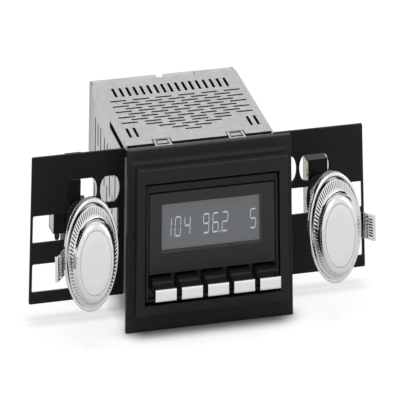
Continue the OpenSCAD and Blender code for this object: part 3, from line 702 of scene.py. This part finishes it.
class RADIO_OT_bezel(PieceOperator, bpy.types.Operator):
    """Round the edges of the bezel, the fascia and the nose behind them"""
    bl_idname = "radio.bezel"
    bl_label = "Bezel and fascia"

    GAP = 0.55  # the dark gap round the fascia and round the smoked panel

    def build(self, sizes):
        round_off("bezel", "bezel_moulding", sizes.edge_round, 40, 3)
        stand_for(self.inset(from_cad("fascia", "fascia_moulding", 0.15), -6), "fascia")
        round_off("nose_housing", "nose_moulding", 0.2)
        low, high = bench_box("window_panel")
        inwards = Vector((self.GAP, 0, self.GAP))
        panel = block("smoked_panel", low + inwards, high - inwards)
        low, high = bench_box("window_lens")
        cut(panel, block("cutter", (low.x, -9, low.z), (high.x, 0, high.z)))
        stand_for(soften(panel, 0.12), "window_panel")
        round_off("window_lens", "clear_lens", 0.1)

    def inset(self, piece, reach):
        """Draws the outer edge in front of a depth inwards, which leaves a dark gap round it."""
        points = [bench(v.co) for v in piece.data.vertices]
        for axis in (0, 2):
            levels = [point[axis] for point in points]
            for edge, sign in ((min(levels), 1), (max(levels), -1)):
                shift = Vector((0, 0, 0))
                shift[axis] = sign * self.GAP * MM
                with chosen(piece, lambda *p: p[1] < reach and abs(p[axis] - edge) < 0.3):
                    bpy.ops.transform.translate(value=shift)
        return piece


class RADIO_OT_display(PieceOperator, bpy.types.Operator):
    """Lay the lit cells of the display's figures"""
    bl_idname = "radio.display"
    bl_label = "Display figures"

    CELLS = {"0": "abcdef", "1": "bc", "2": "abged", "3": "abgcd", "4": "fgbc", "5": "afgcd",
             "6": "afgcde", "7": "abc", "8": "abcdefg", "9": "abcdfg"}
    # Where each cell lies, in half widths and half heights of a figure, and if it is upright.
    PLACES = {"a": (0, 1, False), "b": (1, 0.5, True), "c": (1, -0.5, True),
              "d": (0, -1, False), "e": (-1, -0.5, True), "f": (-1, 0.5, True),
              "g": (0, 0, False)}
    HALF_WIDTH, HALF_HEIGHT = 1.9, 3.1
    LEAN = 0.07
    BACK, FRONT = -1.99, -2.06

    def bar(self, x, z, upright):
        """One cell: a thin bar with pointed ends."""
        half, t = (1.42 if upright else 1.72), 0.24
        ends = [(-half, 0), (-half + t, t), (half - t, t), (half, 0), (half - t, -t),
                (-half + t, -t)]
        points = [(b, a) if upright else (a, b) for a, b in ends]
        points = [(x + a + (z + b - self.middle) * self.LEAN, z + b) for a, b in points]
        return prism("cell", points, "y", self.FRONT, self.BACK)

    def build(self, sizes):
        low, high = bench_box("window_lens")
        self.middle = (low.z + high.z) / 2 - 0.6
        foot = self.middle - self.HALF_HEIGHT
        pitch, columns = sizes.cell_pitch, len(sizes.reading.replace(".", ""))
        x = (low.x + high.x) / 2 - (columns - 1) / 2 * pitch
        cells = []
        for sign in sizes.reading:
            if sign == ".":
                dot, half = x - pitch / 2, 0.3
                cells.append(block("cell", (dot - half, self.FRONT, foot - half),
                                   (dot + half, self.BACK, foot + half)))
                continue
            for key in self.CELLS.get(sign, ""):
                across, up, upright = self.PLACES[key]
                cells.append(self.bar(x + across * self.HALF_WIDTH,
                                      self.middle + up * self.HALF_HEIGHT, upright))
            x += pitch
        # A dark strip along the display's lower and right edges: painted shade from the window's
        # recess
        shade_x, shade_z = high.x - 1.3, low.z + 0.2
        edge = prism("display_painted_shade", [(low.x - 1, low.z - 2), (high.x + 2, low.z - 2),
                                      (high.x + 2, high.z + 1), (shade_x, high.z + 1),
                                      (shade_x, shade_z), (low.x - 1, shade_z)], "y", -2.05, -1.99)
        fix_to(edge, "lcd_panel", "lcd_grey", "lcd_edge")
        fix_to(joined(cells, "display_figures"), "lcd_panel", "lcd_grey", "lcd_digit")


class RADIO_OT_keys(PieceOperator, bpy.types.Operator):
    """Model one push key and its bright cap, and copy them along the row"""
    bl_idname = "radio.keys"
    bl_label = "Push keys"

    def build(self, sizes):
        low, high = bench_box("preset_cap_1")
        back, middle = low.y + 2.2, (low.x + high.x) / 2
        cap = block("cap_1", low, (high.x, back, high.z))
        with chosen(cap, lambda x, y, z: y < low.y + 0.1):
            bpy.ops.mesh.select_mode(type="FACE")
            bpy.ops.mesh.inset(thickness=0.55 * MM)
        with chosen(cap, lambda x, y, z: y < low.y + 0.1 and (
                min(x - low.x, high.x - x) < 0.1 or min(z - low.z, high.z - z) < 0.1)):
            bpy.ops.transform.translate(value=(0, 0.45 * MM, 0))
        soften(cap, 0.14, 3, 20)
        low, high = bench_box("preset_key_1")
        step, drop, key_back = -14.5, 0.8, 5.5
        key = prism("key_1", [(back, low.z), (key_back, low.z), (key_back, high.z),
                              (step + 0.6, high.z), (step, high.z - drop),
                              (back, high.z - drop)], "x", low.x, high.x)
        soften(key, 0.22, 3)
        stem = turn("stem_1", [(1.6, -5.4), (1.6, -9.2), (1.3, -9.5)], 32, (middle, 0, -13.45))
        key = joined([key, stem], "key_1")
        pitch = (bench_box("preset_key_2")[0].x - low.x) * MM
        for i in range(2, 6):
            shift = Matrix.Translation(((i - 1) * pitch, 0, 0))
            stand_for(copied(key, f"key_{i}", shift), f"preset_key_{i}")
            stand_for(copied(cap, f"cap_{i}", shift), f"preset_cap_{i}")
        stand_for(key, "preset_key_1")
        stand_for(cap, "preset_cap_1")


class RADIO_OT_chassis(PieceOperator, bpy.types.Operator):
    """Finish the sheet-metal chassis, its cover and its cooling block"""
    bl_idname = "radio.chassis"
    bl_label = "Chassis"

    def build(self, sizes):
        deck = bench_box("top_cover")[1].z - 0.99
        middle = Vector((0, 90, 0))
        skirt_end = 103.5

        def dark(c, n):
            """Painted shade for the faces turned to the dark inside, the walls of the vents and the
            cover's front edge: these get the near-black shade material."""
            vent = abs(c.x) > 50.8 and abs(n.x) < 0.95 and 34 < c.y < 136 and abs(c.z) < 24
            if node == "top_cover" and c.z > deck:
                vent = abs(n.z) < 0.95 and abs(c.x) < 50.5 and c.y < 128
            elif node == "top_cover" and skirt_end - 0.5 < c.y < skirt_end + 2.5 and n.y > 0.2:
                vent = False
            return vent or n.dot(middle - c) > 15

        for node, name in (("chassis_tray", "tray_sheet"), ("top_cover", "cover_sheet"),
                           ("front_frame", "front_sheet"), ("rear_panel", "rear_sheet")):
            # The inside faces, the vent walls and the cover's front edge get painted shade
            stand_for(tint(from_cad(node, name, sizes.sheet_round), dark), node)
        low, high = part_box("heat_sink")
        y, z = (low.y - FLANGE_Y) / MM, (low.z - AXIS_Z) / MM
        deep, tall = (high.y - low.y) / MM, (high.z - low.z) / MM
        profile = [(y + 0.5, z), (y + deep - 0.8, z), (y + deep, z + 0.8),
                   (y + deep, z + tall - 0.8), (y + deep - 0.8, z + tall), (y + 0.5, z + tall)]
        plates = [soften(prism("sink_end", profile, "x", x, x + 1.2), 0.2)
                  for x in (low.x / MM - 0.15, high.x / MM - 1.05)]
        sink = from_cad("heat_sink", "cooling_fins", 0.25)
        stand_for(joined([sink] + plates, "cooling_fins"), "heat_sink")
        self.lugs()

    def lugs(self):
        """Pressed rim round each locking lug of the front frame."""
        low, high = bench_box("front_frame")

        def slab(name, x, inset, foot, rise):
            half = 5.9 - inset
            return block(name, (x - half, low.y + inset + 0.3, high.z + foot),
                         (x + half, high.y - inset, high.z + rise))
        for side, s in SIDES:
            rim = slab(side + "_lug_rim", s * 26.3, 1.6, -0.05, 0.35)
            cut(rim, slab("cutter", s * 26.3, 2.3, -1, 1))
            # The rim's side walls get painted shade, a dark outline round each lug
            tint(soften(rim, 0.12), lambda c, n: abs(n.z) < 0.95)
            fix_to(rim, "front_frame", "chassis_steel")


class RADIO_OT_fasteners(PieceOperator, bpy.types.Operator):
    """Turn and cut one screw of each size, and drive the copies in where the CAD has them"""
    bl_idname = "radio.fasteners"
    bl_label = "Screws and nuts"

    def screw(self, name, head, rise, radius, length):
        """Pan head with a cross recess, and a threaded shank. The seat is the flange's plane."""
        edge = rise * 0.35
        dome = arc((25, 45, 62, 78), head, rise - edge, (0, edge))
        body = turn("head", [(head, 0), (head, edge)] + dome + [(0, rise)], 32)
        reach, arm = head * 0.55, head * 0.13
        for wide, tall in ((reach, arm), (arm, reach)):
            wedge = block("cutter", (-wide, -rise - 1, -tall), (wide, -edge, tall))
            narrow(wedge, lambda x, y, z: y > -rise * 0.6, 0.55)
            cut(body, wedge)
        soften(body, 0.06, 1, 40)
        shank = turn("shank", [(radius * 0.5, -length), (radius * 0.85, -length + 0.4)]
                     + thread(radius, -length + 0.5, -0.3, 0.6, radius * 0.18)
                     + [(radius, -0.1), (radius, 0)], 20)
        return joined([body, smooth(shank, 50)], name)

    def build(self, sizes):
        side, back = bench_box("top_cover")[1].x, bench_box("nose_housing")[1].y
        cover = self.screw("cover_screw", 2.7, 1.5, 1.5, 3.6)
        leg = self.screw("leg_screw", 3.4, 2.0, 2.0, 4.8)
        nose = self.screw("nose_screw", 2.2, 1.6, 1.2, 7.0)
        board = self.screw("board_screw", 2.6, 1.5, 1.4, 5.0)
        for node, screw, x, spots in (
                ("cover_screws", cover, side, ((58, -19), (97, -19))),
                ("bracket_screws", leg, side + 1.6, ((41, -17.5), (41, -6)))):
            copies = [placed(screw, node, (s * x, y, z), name)
                      for name, s in SIDES for y, z in spots]
            stand_for(joined(copies, node + "_cut"), node)
        corner = bench_box("nose_housing")[1] - Vector((4.4, 0, 4.4))
        copies = [placed(nose, "inner", (sx * corner.x, back + 1, sz * corner.z), "back")
                  for sx in (-1, 1) for sz in (-1, 1)]
        top = bench_box("main_board")[1].z
        copies += [placed(board, "inner", (sx * 44, y, top), "up")
                   for sx in (-1, 1) for y in (44, 124)]
        stand_for(joined(copies, "inner_screws_cut"), "inner_screws")
        discard(cover, leg, nose, board)
        self.nuts()
        self.stud()

    def hexagon(self, radius, height, hole):
        """Chamfered hexagon nut, its back on the flange's plane."""
        nut = plug("nut", [(radius, 0), (radius, height)], 6)
        cone = plug("cone", [(radius * 0.86, -0.01), (radius * 1.01, height * 0.16),
                             (radius * 1.01, height * 0.84), (radius * 0.86, height + 0.01)], 48)
        cut(nut, cone, "INTERSECT")
        return soften(cut(nut, plug("bore", [(hole, -1), (hole, height + 1)], 32)), 0.1, 2, 35)

    def nuts(self):
        hole, rim, thick = 4.45, 8.5, 0.8
        nut = self.hexagon(7.5, 2.6, hole)
        washer = turn("washer", [(hole, 0), (rim - 0.2, 0), (rim, 0.15), (rim, thick - 0.15),
                                 (rim - 0.2, thick), (hole, thick), (hole, 0)], 48,
                      fill=False)
        copies = [placed(piece, "nut", (s * SHAFT_X, y, 0))
                  for _, s in SIDES for piece, y in ((nut, 31.2), (smooth(washer), 32))]
        nuts = joined(copies, "clamp_nuts")
        nuts.data.materials.clear()
        nuts.data.materials.append(None)
        tint(nuts, lambda c, n: c.y > 31.15, "bracket_black")
        stand_for(nuts, "shaft_nuts")
        discard(nut, washer)

    def stud(self):
        low, high = bench_box("rear_stud")
        reach, z = high.y - low.y, (low.z + high.z) / 2
        outline = [(5.0, 0), (5.0, -2), (2.9, -2.01), (2.9, -7.4)]
        outline += thread(2.5, -7.5, -reach + 0.7, 0.8, 0.35)
        outline += [(1.9, -reach), (0, -reach)]
        stand_for(smooth(turn("threaded_stud", outline, 36, (0, low.y, z)), 30), "rear_stud")
        nut = self.hexagon(5.2, 4.2, 2.95)
        back = bench_box("rear_panel")[1].y
        stand_for(placed(nut, "stud_nut", (0, back, z), "back"), "rear_nut")
        discard(nut)


class RADIO_OT_sockets(PieceOperator, bpy.types.Operator):
    """Turn and fit the sockets at the back"""
    bl_idname = "radio.sockets"
    bl_label = "Rear sockets"

    def build(self, sizes):
        back = bench_box("rear_panel")[1].y
        low, high = bench_box("antenna_socket")
        x, z = (low.x + high.x) / 2, (low.z + high.z) / 2
        shell = turn("shell", [(4.8, 1), (6.0, 5), (6.0, 0), (7.3, 0), (7.4, -0.2), (7.4, -1.3),
                               (7.3, -1.5), (6.0, -1.5), (6.0, -12.6), (5.7, -13), (5.0, -13),
                               (4.8, -12.7), (4.8, 1)], 64, (x, back, z), fill=False)
        cut(shell, block("cutter", (x - 9, back + 3, z - 0.45), (x + 9, back + 14, z + 0.45)))
        pin = turn("pin", [(4.8, 1), (1.4, 0.99), (1.4, -7), (1.0, -8), (0, -8.2)], 32,
                   (x, back, z))
        stand_for(joined([smooth(shell), smooth(pin)], "antenna_shell"), "antenna_socket")
        low, high = bench_box("line_out_sockets")
        jack = [(1.7, 1), (3.4, 6), (3.4, 0), (4.0, 0), (4.1, -0.2), (4.1, -3.0), (3.9, -3.2),
                (4.1, -3.4), (4.1, -8.7), (3.8, -9), (2.1, -9), (1.7, -8.6), (1.7, 1)]
        jacks = [smooth(turn("jack", jack, 48, (x, back, (low.z + high.z) / 2), fill=False))
                 for x in (low.x + 4.1, high.x - 4.1)]
        stand_for(joined(jacks, "line_jacks"), "line_out_sockets")
        round_off("harness_socket", "harness_box", 0.25)


class RADIO_OT_insides(PieceOperator, bpy.types.Operator):
    """Round and finish the pieces that show only through the vents"""
    bl_idname = "radio.insides"
    bl_label = "Inside pieces"

    def build(self, sizes):
        for node, width in (("main_board", 0.1), ("display_board", 0.1), ("tuner_module", 0.4),
                            ("amplifier_chip", 0.15), ("ribbon_cable", 0.15),
                            ("key_switches", 0.3), ("light_box", 0.2), ("lcd_panel", 0.2),
                            ("left_control_board", 0.12), ("right_control_board", 0.12)):
            round_off(node, node + "_piece", width)
        round_off("capacitors", "capacitor_cans", 0.4)


class RADIO_OT_brackets(PieceOperator, bpy.types.Operator):
    """Finish the slotted side brackets and the controls behind them"""
    bl_idname = "radio.brackets"
    bl_label = "Brackets and controls"

    SHEET = 0.25  # thickness of the small plates

    def build(self, sizes):
        for side, _ in SIDES:
            round_off(side + "_bracket", side + "_plate", 0.2)
            round_off(side + "_control", side + "_case", 0.4)
        right, left = SHAFT_X - 6.3, -SHAFT_X - 16.4
        self.plate("right_side_plate", (right - self.SHEET, 34, -7.6), (right, 46.6, 12.4))
        self.plate("right_lid", (right - self.SHEET, 44.4, 13.3),
                   (right + 14.1, 46.6, 13.3 + self.SHEET))
        spot = turn("spot", [(1.5, 0), (1.5, 0.3), (1.2, 0.5), (0, 0.5)], 24)
        contact = placed(spot, "right_contact", (right - self.SHEET, 37, 8.2), "left")
        fix_to(contact, "right_control", "brass")
        discard(spot)
        self.plate("left_side_plate", (left - self.SHEET, 34, -2), (left, 46.6, 14.6))
        lug = prism("left_earth_lug", [(left + 2, -2.4), (left + 5.6, -2.4), (left + 5.6, -4.8),
                                       (left + 4.8, -5.8), (left + 2.8, -5.8), (left + 2, -4.8)],
                    "y", 40, 40.6)
        fix_to(soften(lug, 0.08), "left_control", "zinc_steel")

    def plate(self, name, low, high):
        """A small metal plate fixed to the control of the side that its name starts with."""
        fix_to(soften(block(name, low, high), 0.08), name.split("_")[0] + "_control",
               "zinc_steel")


class RADIO_OT_rings(PieceOperator, bpy.types.Operator):
    """Turn one control ring with its knurled drum and finger tab, and copy it across"""
    bl_idname = "radio.rings"
    bl_label = "Control rings"

    LIP, DRUM, TILT = 18.5, 17.5, math.radians(49)

    def place(self, u, v):
        """A point of the tab's section: u runs out along its face, v into it."""
        c, s = math.cos(self.TILT), math.sin(self.TILT)
        return SHAFT_X + self.LIP + 0.7 + u * c + v * s, RIM_Y - 4.3 + v * c - u * s

    def build(self, sizes):
        teeth, lip, drum = sizes.ring_ribs, self.LIP, self.DRUM
        outline = [(4.0, -1.5), (15.3, -1.5), (15.3, -5.5), (17.0, -5.5), (17.3, -5.4),
                   (drum, -5.1), (drum, -4.9), (drum, -1.1), (drum, -0.9), (18.2, -0.9),
                   (18.42, -0.8), (lip, -0.6), (lip, 2.5), (18.44, 2.85), (18.25, 3.15),
                   (17.98, 3.34), (17.7, 3.4), (17.25, 3.4), (17.02, 3.3), (16.9, 3.1),
                   (16.9, 1.0), (4.0, 1.0), (4.0, -1.5)]
        ring = turn("ring", outline, teeth * 4, (SHAFT_X, RIM_Y, 0), fill=False)

        def groove(*point):
            radius, turned, forward = round_shaft(*point)
            return (abs(radius - drum) < 0.03 and -5.0 < forward < -1.0
                    and round(turned * teeth * 4) % 4 < 2)

        # Painted shade on the drum between its ridges, where the knurl's grooves lie
        def hollow(c, n):
            radius, _, forward = round_shaft(*c)
            return 16 < radius < drum - 0.12 and -5.05 < forward < -0.95
        narrow(ring, groove, (drum - 0.4) / drum, (SHAFT_X, 0, 0))
        tint(smooth(ring, 40), hollow)
        tab = self.tab()
        centre = at(SHAFT_X, 0, 0)
        low = copied(tab, "low_tab", Matrix.Translation(centre)
                     @ Matrix.Rotation(math.radians(4), 4, "Y") @ Matrix.Translation(-centre))
        low = joined([copied(ring, "low_ring"), low], "low_ring")
        stand_for(swap_side(low, "left_ring_chrome"), "left_ring")
        discard(low)
        stand_for(joined([ring, tab], "right_ring_chrome"), "right_ring")

    def tab(self):
        """Finger tab: three upright notches near the rim, level ribs in a sunk panel."""
        place = self.place
        x, y = SHAFT_X + self.LIP, RIM_Y
        outline = [(x - 1, y + 0.4), (x - 1, y - 2.6), place(0, 0)]
        for u in (0.9, 2.1, 3.3):
            outline += [place(u, 0), place(u, 0.5), place(u + 0.6, 0.5), place(u + 0.6, 0)]
        outline += [place(8.8, 0), place(9.2, 0.4), place(9.2, 1.9), place(0.9, 1.9),
                    (x + 1.4, y + 0.4)]
        tab = prism("tab", outline, "z", -4.2, 4.2)

        def strip(depth, low, high):
            corners = [place(4.6, -1), place(8.0, -1), place(8.0, depth), place(4.6, depth)]
            return prism("cutter", corners, "z", low, high)
        cut(tab, strip(0.15, -3.3, 3.3))
        cut(tab, joined([strip(0.5, -2.95 + 0.9 * i, -2.5 + 0.9 * i) for i in range(7)],
                        "cutter"))
        soften(tab, 0.08, 2, 30)
        c, s = math.cos(self.TILT), math.sin(self.TILT)
        x0, y0 = place(0, 0)

        # Painted shade on the floors and walls of the tab's rib grooves
        def hollow(point, n):
            u = (point.x - x0) * c - (point.y - y0) * s
            v = (point.x - x0) * s + (point.y - y0) * c
            return 0.8 < u < 8.05 and 0.2 < v < 0.55 and abs(point.z) < 4.15
        return tint(tab, hollow)


class RADIO_OT_knobs(PieceOperator, bpy.types.Operator):
    """Turn one knob with its ribbed skirt and its spun disc, and copy them across"""
    bl_idname = "radio.knobs"
    bl_label = "Knobs"

    def build(self, sizes):
        teeth = sizes.knob_ribs
        foot, rim = Vector((13.4, 11.15)), Vector((16.7, 6.2))
        outline = [(3.0, 12.0), (3.0, 5.2), (16.3, 5.2), (16.6, 5.35), (16.7, 5.6)]
        outline += [rim.lerp(foot, share) for share in (0, 0.06, 0.09, 0.62, 0.66, 1)]
        outline += arc(range(0, 91, 6), 2.7, 2.9, (10.7, 12.9))
        outline += [(10.62, 15.7), (10.6, 15.2), (0, 15.2)]
        knob = turn("knob", outline, teeth * 6, (SHAFT_X, RIM_Y, 0))

        def ribs(*steps):
            def test(*point):
                radius, turned, forward = round_shaft(*point)
                return (round(turned * teeth * 6) % 6 in steps and 6.6 < forward < 9.35
                        and 14.5 < radius < 16.6)
            return test
        for steps, share, back in (((2, 3), 0.972, 0.4), ((1, 4), 0.996, 0.055)):
            narrow(knob, ribs(*steps), share, (SHAFT_X, 0, 0), back)
        slope = (foot - rim).normalized()
        across = Vector((slope.y, -slope.x))

        # Painted shade in the grooves between the skirt's ribs
        def sunk(c, n):
            radius, _, forward = round_shaft(*c)
            point = Vector((radius, forward)) - rim
            return (0.5 < point.dot(slope) < 3.7 and point.dot(across) < -0.42
                    and forward > 6.3)
        tint(smooth(knob, 40), sunk)
        disc = turn("disc", [(10.3, 15.2), (10.42, 15.3), (10.44, 15.8), (10.36, 15.94),
                             (10.15, 16.0), (6.0, 16.0), (0, 16.0)], 128, (SHAFT_X, RIM_Y, 0))
        smooth(disc, 40)
        stand_for(swap_side(knob, "left_knob_chrome"), "left_knob")
        stand_for(swap_side(disc, "left_disc"), "left_knob_disc", "left")
        stand_for(knob, "right_knob")
        stand_for(disc, "right_knob_disc", "right")
        knob.name, disc.name = "right_knob_chrome", "right_disc"


class RADIO_OT_stage(PieceOperator, bpy.types.Operator):
    """Set up the floor, the lamps and the camera"""
    bl_idname = "radio.stage"
    bl_label = "Stage"

    LAMP_SIZE = 0.9  # metres, as are all lengths of the stage

    def build(self, sizes):
        scene = bpy.context.scene
        scene.view_settings.view_transform = "Standard"
        self.floor()
        self.world(scene)
        self.lamp("key", (-0.5, -0.9, 1.3), 3.2)
        self.lamp("fill", (0.9, -0.5, 0.9), 1.5)
        self.lamp("back", (0.1, 1.0, 1.1), 1.2)
        self.card("back_card", (-0.8, 0.8, 0.56), 1.0, 0.85)
        self.card("far_card", (0.35, 2.0, 0.8), 3.6, 0.45)
        self.card("high_card", (0.0, 0.98, 1.08), 2.6, 0.45)
        self.camera(scene)

    def floor(self):
        """A pale floor that glows white to the eye but still takes the radio's soft shadow. Its glow
        is dimmed by ambient occlusion near the radio, a painted contact shadow.
        """
        deselect()
        bpy.ops.mesh.primitive_plane_add(size=24, location=(0, 0, 0))
        floor = named("floor")
        material, shader, place = new_material("Floor", Roughness=0.9,
                                               Emission_Color=(1, 1, 1, 1))
        nodes = material.node_tree.nodes
        path = nodes.new("ShaderNodeLightPath").outputs
        seen = path["Is Camera Ray"]
        tone = speckle(noise(place, 30.0), bpy.context.scene.radio_colours.floor, 0.99)
        # Painted contact shadow: ambient occlusion dims the floor's glow close to the radio
        contact = nodes.new("ShaderNodeAmbientOcclusion")
        contact.samples = 16
        contact.inputs["Distance"].default_value = 12 * MM
        contact = maths("POWER", contact.outputs["AO"], 1.5)
        glow = maths("MULTIPLY", maths("MULTIPLY", contact, 0.82), seen)
        gloss = maths("MULTIPLY", path["Is Glossy Ray"], 0.15)
        fill_in(shader, {"Base Color": mix(seen, tone, (0.35, 0.35, 0.35, 1)),
                         "Emission Strength": maths("MAXIMUM", glow, gloss)})
        floor.data.materials.append(material)

    def facing(self, place, axis):
        """The turn that points an axis at the middle of the radio."""
        return (Vector((0, 0, 0.03)) - Vector(place)).to_track_quat(axis, "Y").to_euler()

    def card(self, name, place, width, height):
        """A dark card that only glossy surfaces see, facing the radio."""
        deselect()
        bpy.ops.mesh.primitive_plane_add(size=1, location=place,
                                         rotation=self.facing(place, "Z"))
        bpy.context.object.scale = (width, height, 1)
        card = named(name)
        black, _, _ = new_material("Black card", Base_Color=(0.01, 0.01, 0.01, 1),
                                   Specular_IOR_Level=0.0)
        card.data.materials.append(black)
        card.visible_camera = card.visible_diffuse = card.visible_shadow = False
        card.visible_transmission = False

    def world(self, scene):
        """White to the eye and through glass, less bright in a gloss, and dim to the rest."""
        world = bpy.data.worlds.new("Studio")
        world.use_nodes = True
        nodes = world.node_tree.nodes
        path = nodes.new("ShaderNodeLightPath").outputs
        seen = maths("MAXIMUM", path["Is Camera Ray"], path["Is Transmission Ray"])
        seen = maths("MAXIMUM", seen, maths("MULTIPLY", path["Is Glossy Ray"], 0.75))
        fill_in(nodes["Background"], {"Color": (1, 1, 1, 1),
                                      "Strength": remap(seen, 0.0, 1.0, 0.45, 1.0)})
        scene.world = world

    def lamp(self, name, place, power):
        data = bpy.data.lights.new(name, "AREA")
        data.energy, data.size = power, self.LAMP_SIZE
        lamp = bpy.data.objects.new(name, data)
        bpy.context.scene.collection.objects.link(lamp)
        lamp.location, lamp.rotation_euler = place, self.facing(place, "-Z")

    def camera(self, scene):
        """The radio is seen squeezed sideways, so the camera hangs on a leaned holder: its
        upright axis leans along the view, and heights look larger than widths."""
        holder = bpy.data.objects.new("camera_holder", None)
        scene.collection.objects.link(holder)
        holder.location = (-0.97361, -4.02533, 0.91858)
        holder.rotation_euler = [math.radians(a) for a in (-4.172, -26.058, -97.655)]
        holder.scale = (1.37691, 0.99212, 0.34615)
        data = bpy.data.cameras.new("camera")
        data.sensor_width, data.lens, data.clip_end = 36.0, 546.36, 60.0
        camera = bpy.data.objects.new("camera", data)
        scene.collection.objects.link(camera)
        camera.parent = holder
        camera.rotation_euler = [math.radians(a) for a in (135.037, -0.544, 82.442)]
        scene.camera = camera


class RADIO_PT_panel(bpy.types.Panel):
    """Lists the radio's sizes, colours and pieces"""
    bl_label = "Dashboard radio"
    bl_idname = "RADIO_PT_panel"
    bl_space_type = "VIEW_3D"
    bl_region_type = "UI"
    bl_category = "Radio"

    def draw(self, context):
        for group in (context.scene.radio_sizes, context.scene.radio_colours):
            box = self.layout.box()
            for key in group.__annotations__:
                box.prop(group, key)
        for operator in OPERATORS:
            self.layout.operator(operator.bl_idname)


OPERATORS = (RADIO_OT_stage, RADIO_OT_finishes, RADIO_OT_bezel, RADIO_OT_display, RADIO_OT_keys,
             RADIO_OT_chassis, RADIO_OT_fasteners, RADIO_OT_sockets, RADIO_OT_insides,
             RADIO_OT_brackets, RADIO_OT_rings, RADIO_OT_knobs)
CLASSES = (RadioSizes, RadioColours, RADIO_PT_panel) + OPERATORS


def register():
    for item in CLASSES:
        bpy.utils.register_class(item)
    bpy.types.Scene.radio_sizes = bpy.props.PointerProperty(type=RadioSizes)
    bpy.types.Scene.radio_colours = bpy.props.PointerProperty(type=RadioColours)


def unregister():
    del bpy.types.Scene.radio_colours, bpy.types.Scene.radio_sizes
    for item in reversed(CLASSES):
        bpy.utils.unregister_class(item)


def main():
    register()
    for operator in OPERATORS:
        kind, name = operator.bl_idname.split(".")
        getattr(getattr(bpy.ops, kind), name)()


if __name__ == "__main__":
    main()
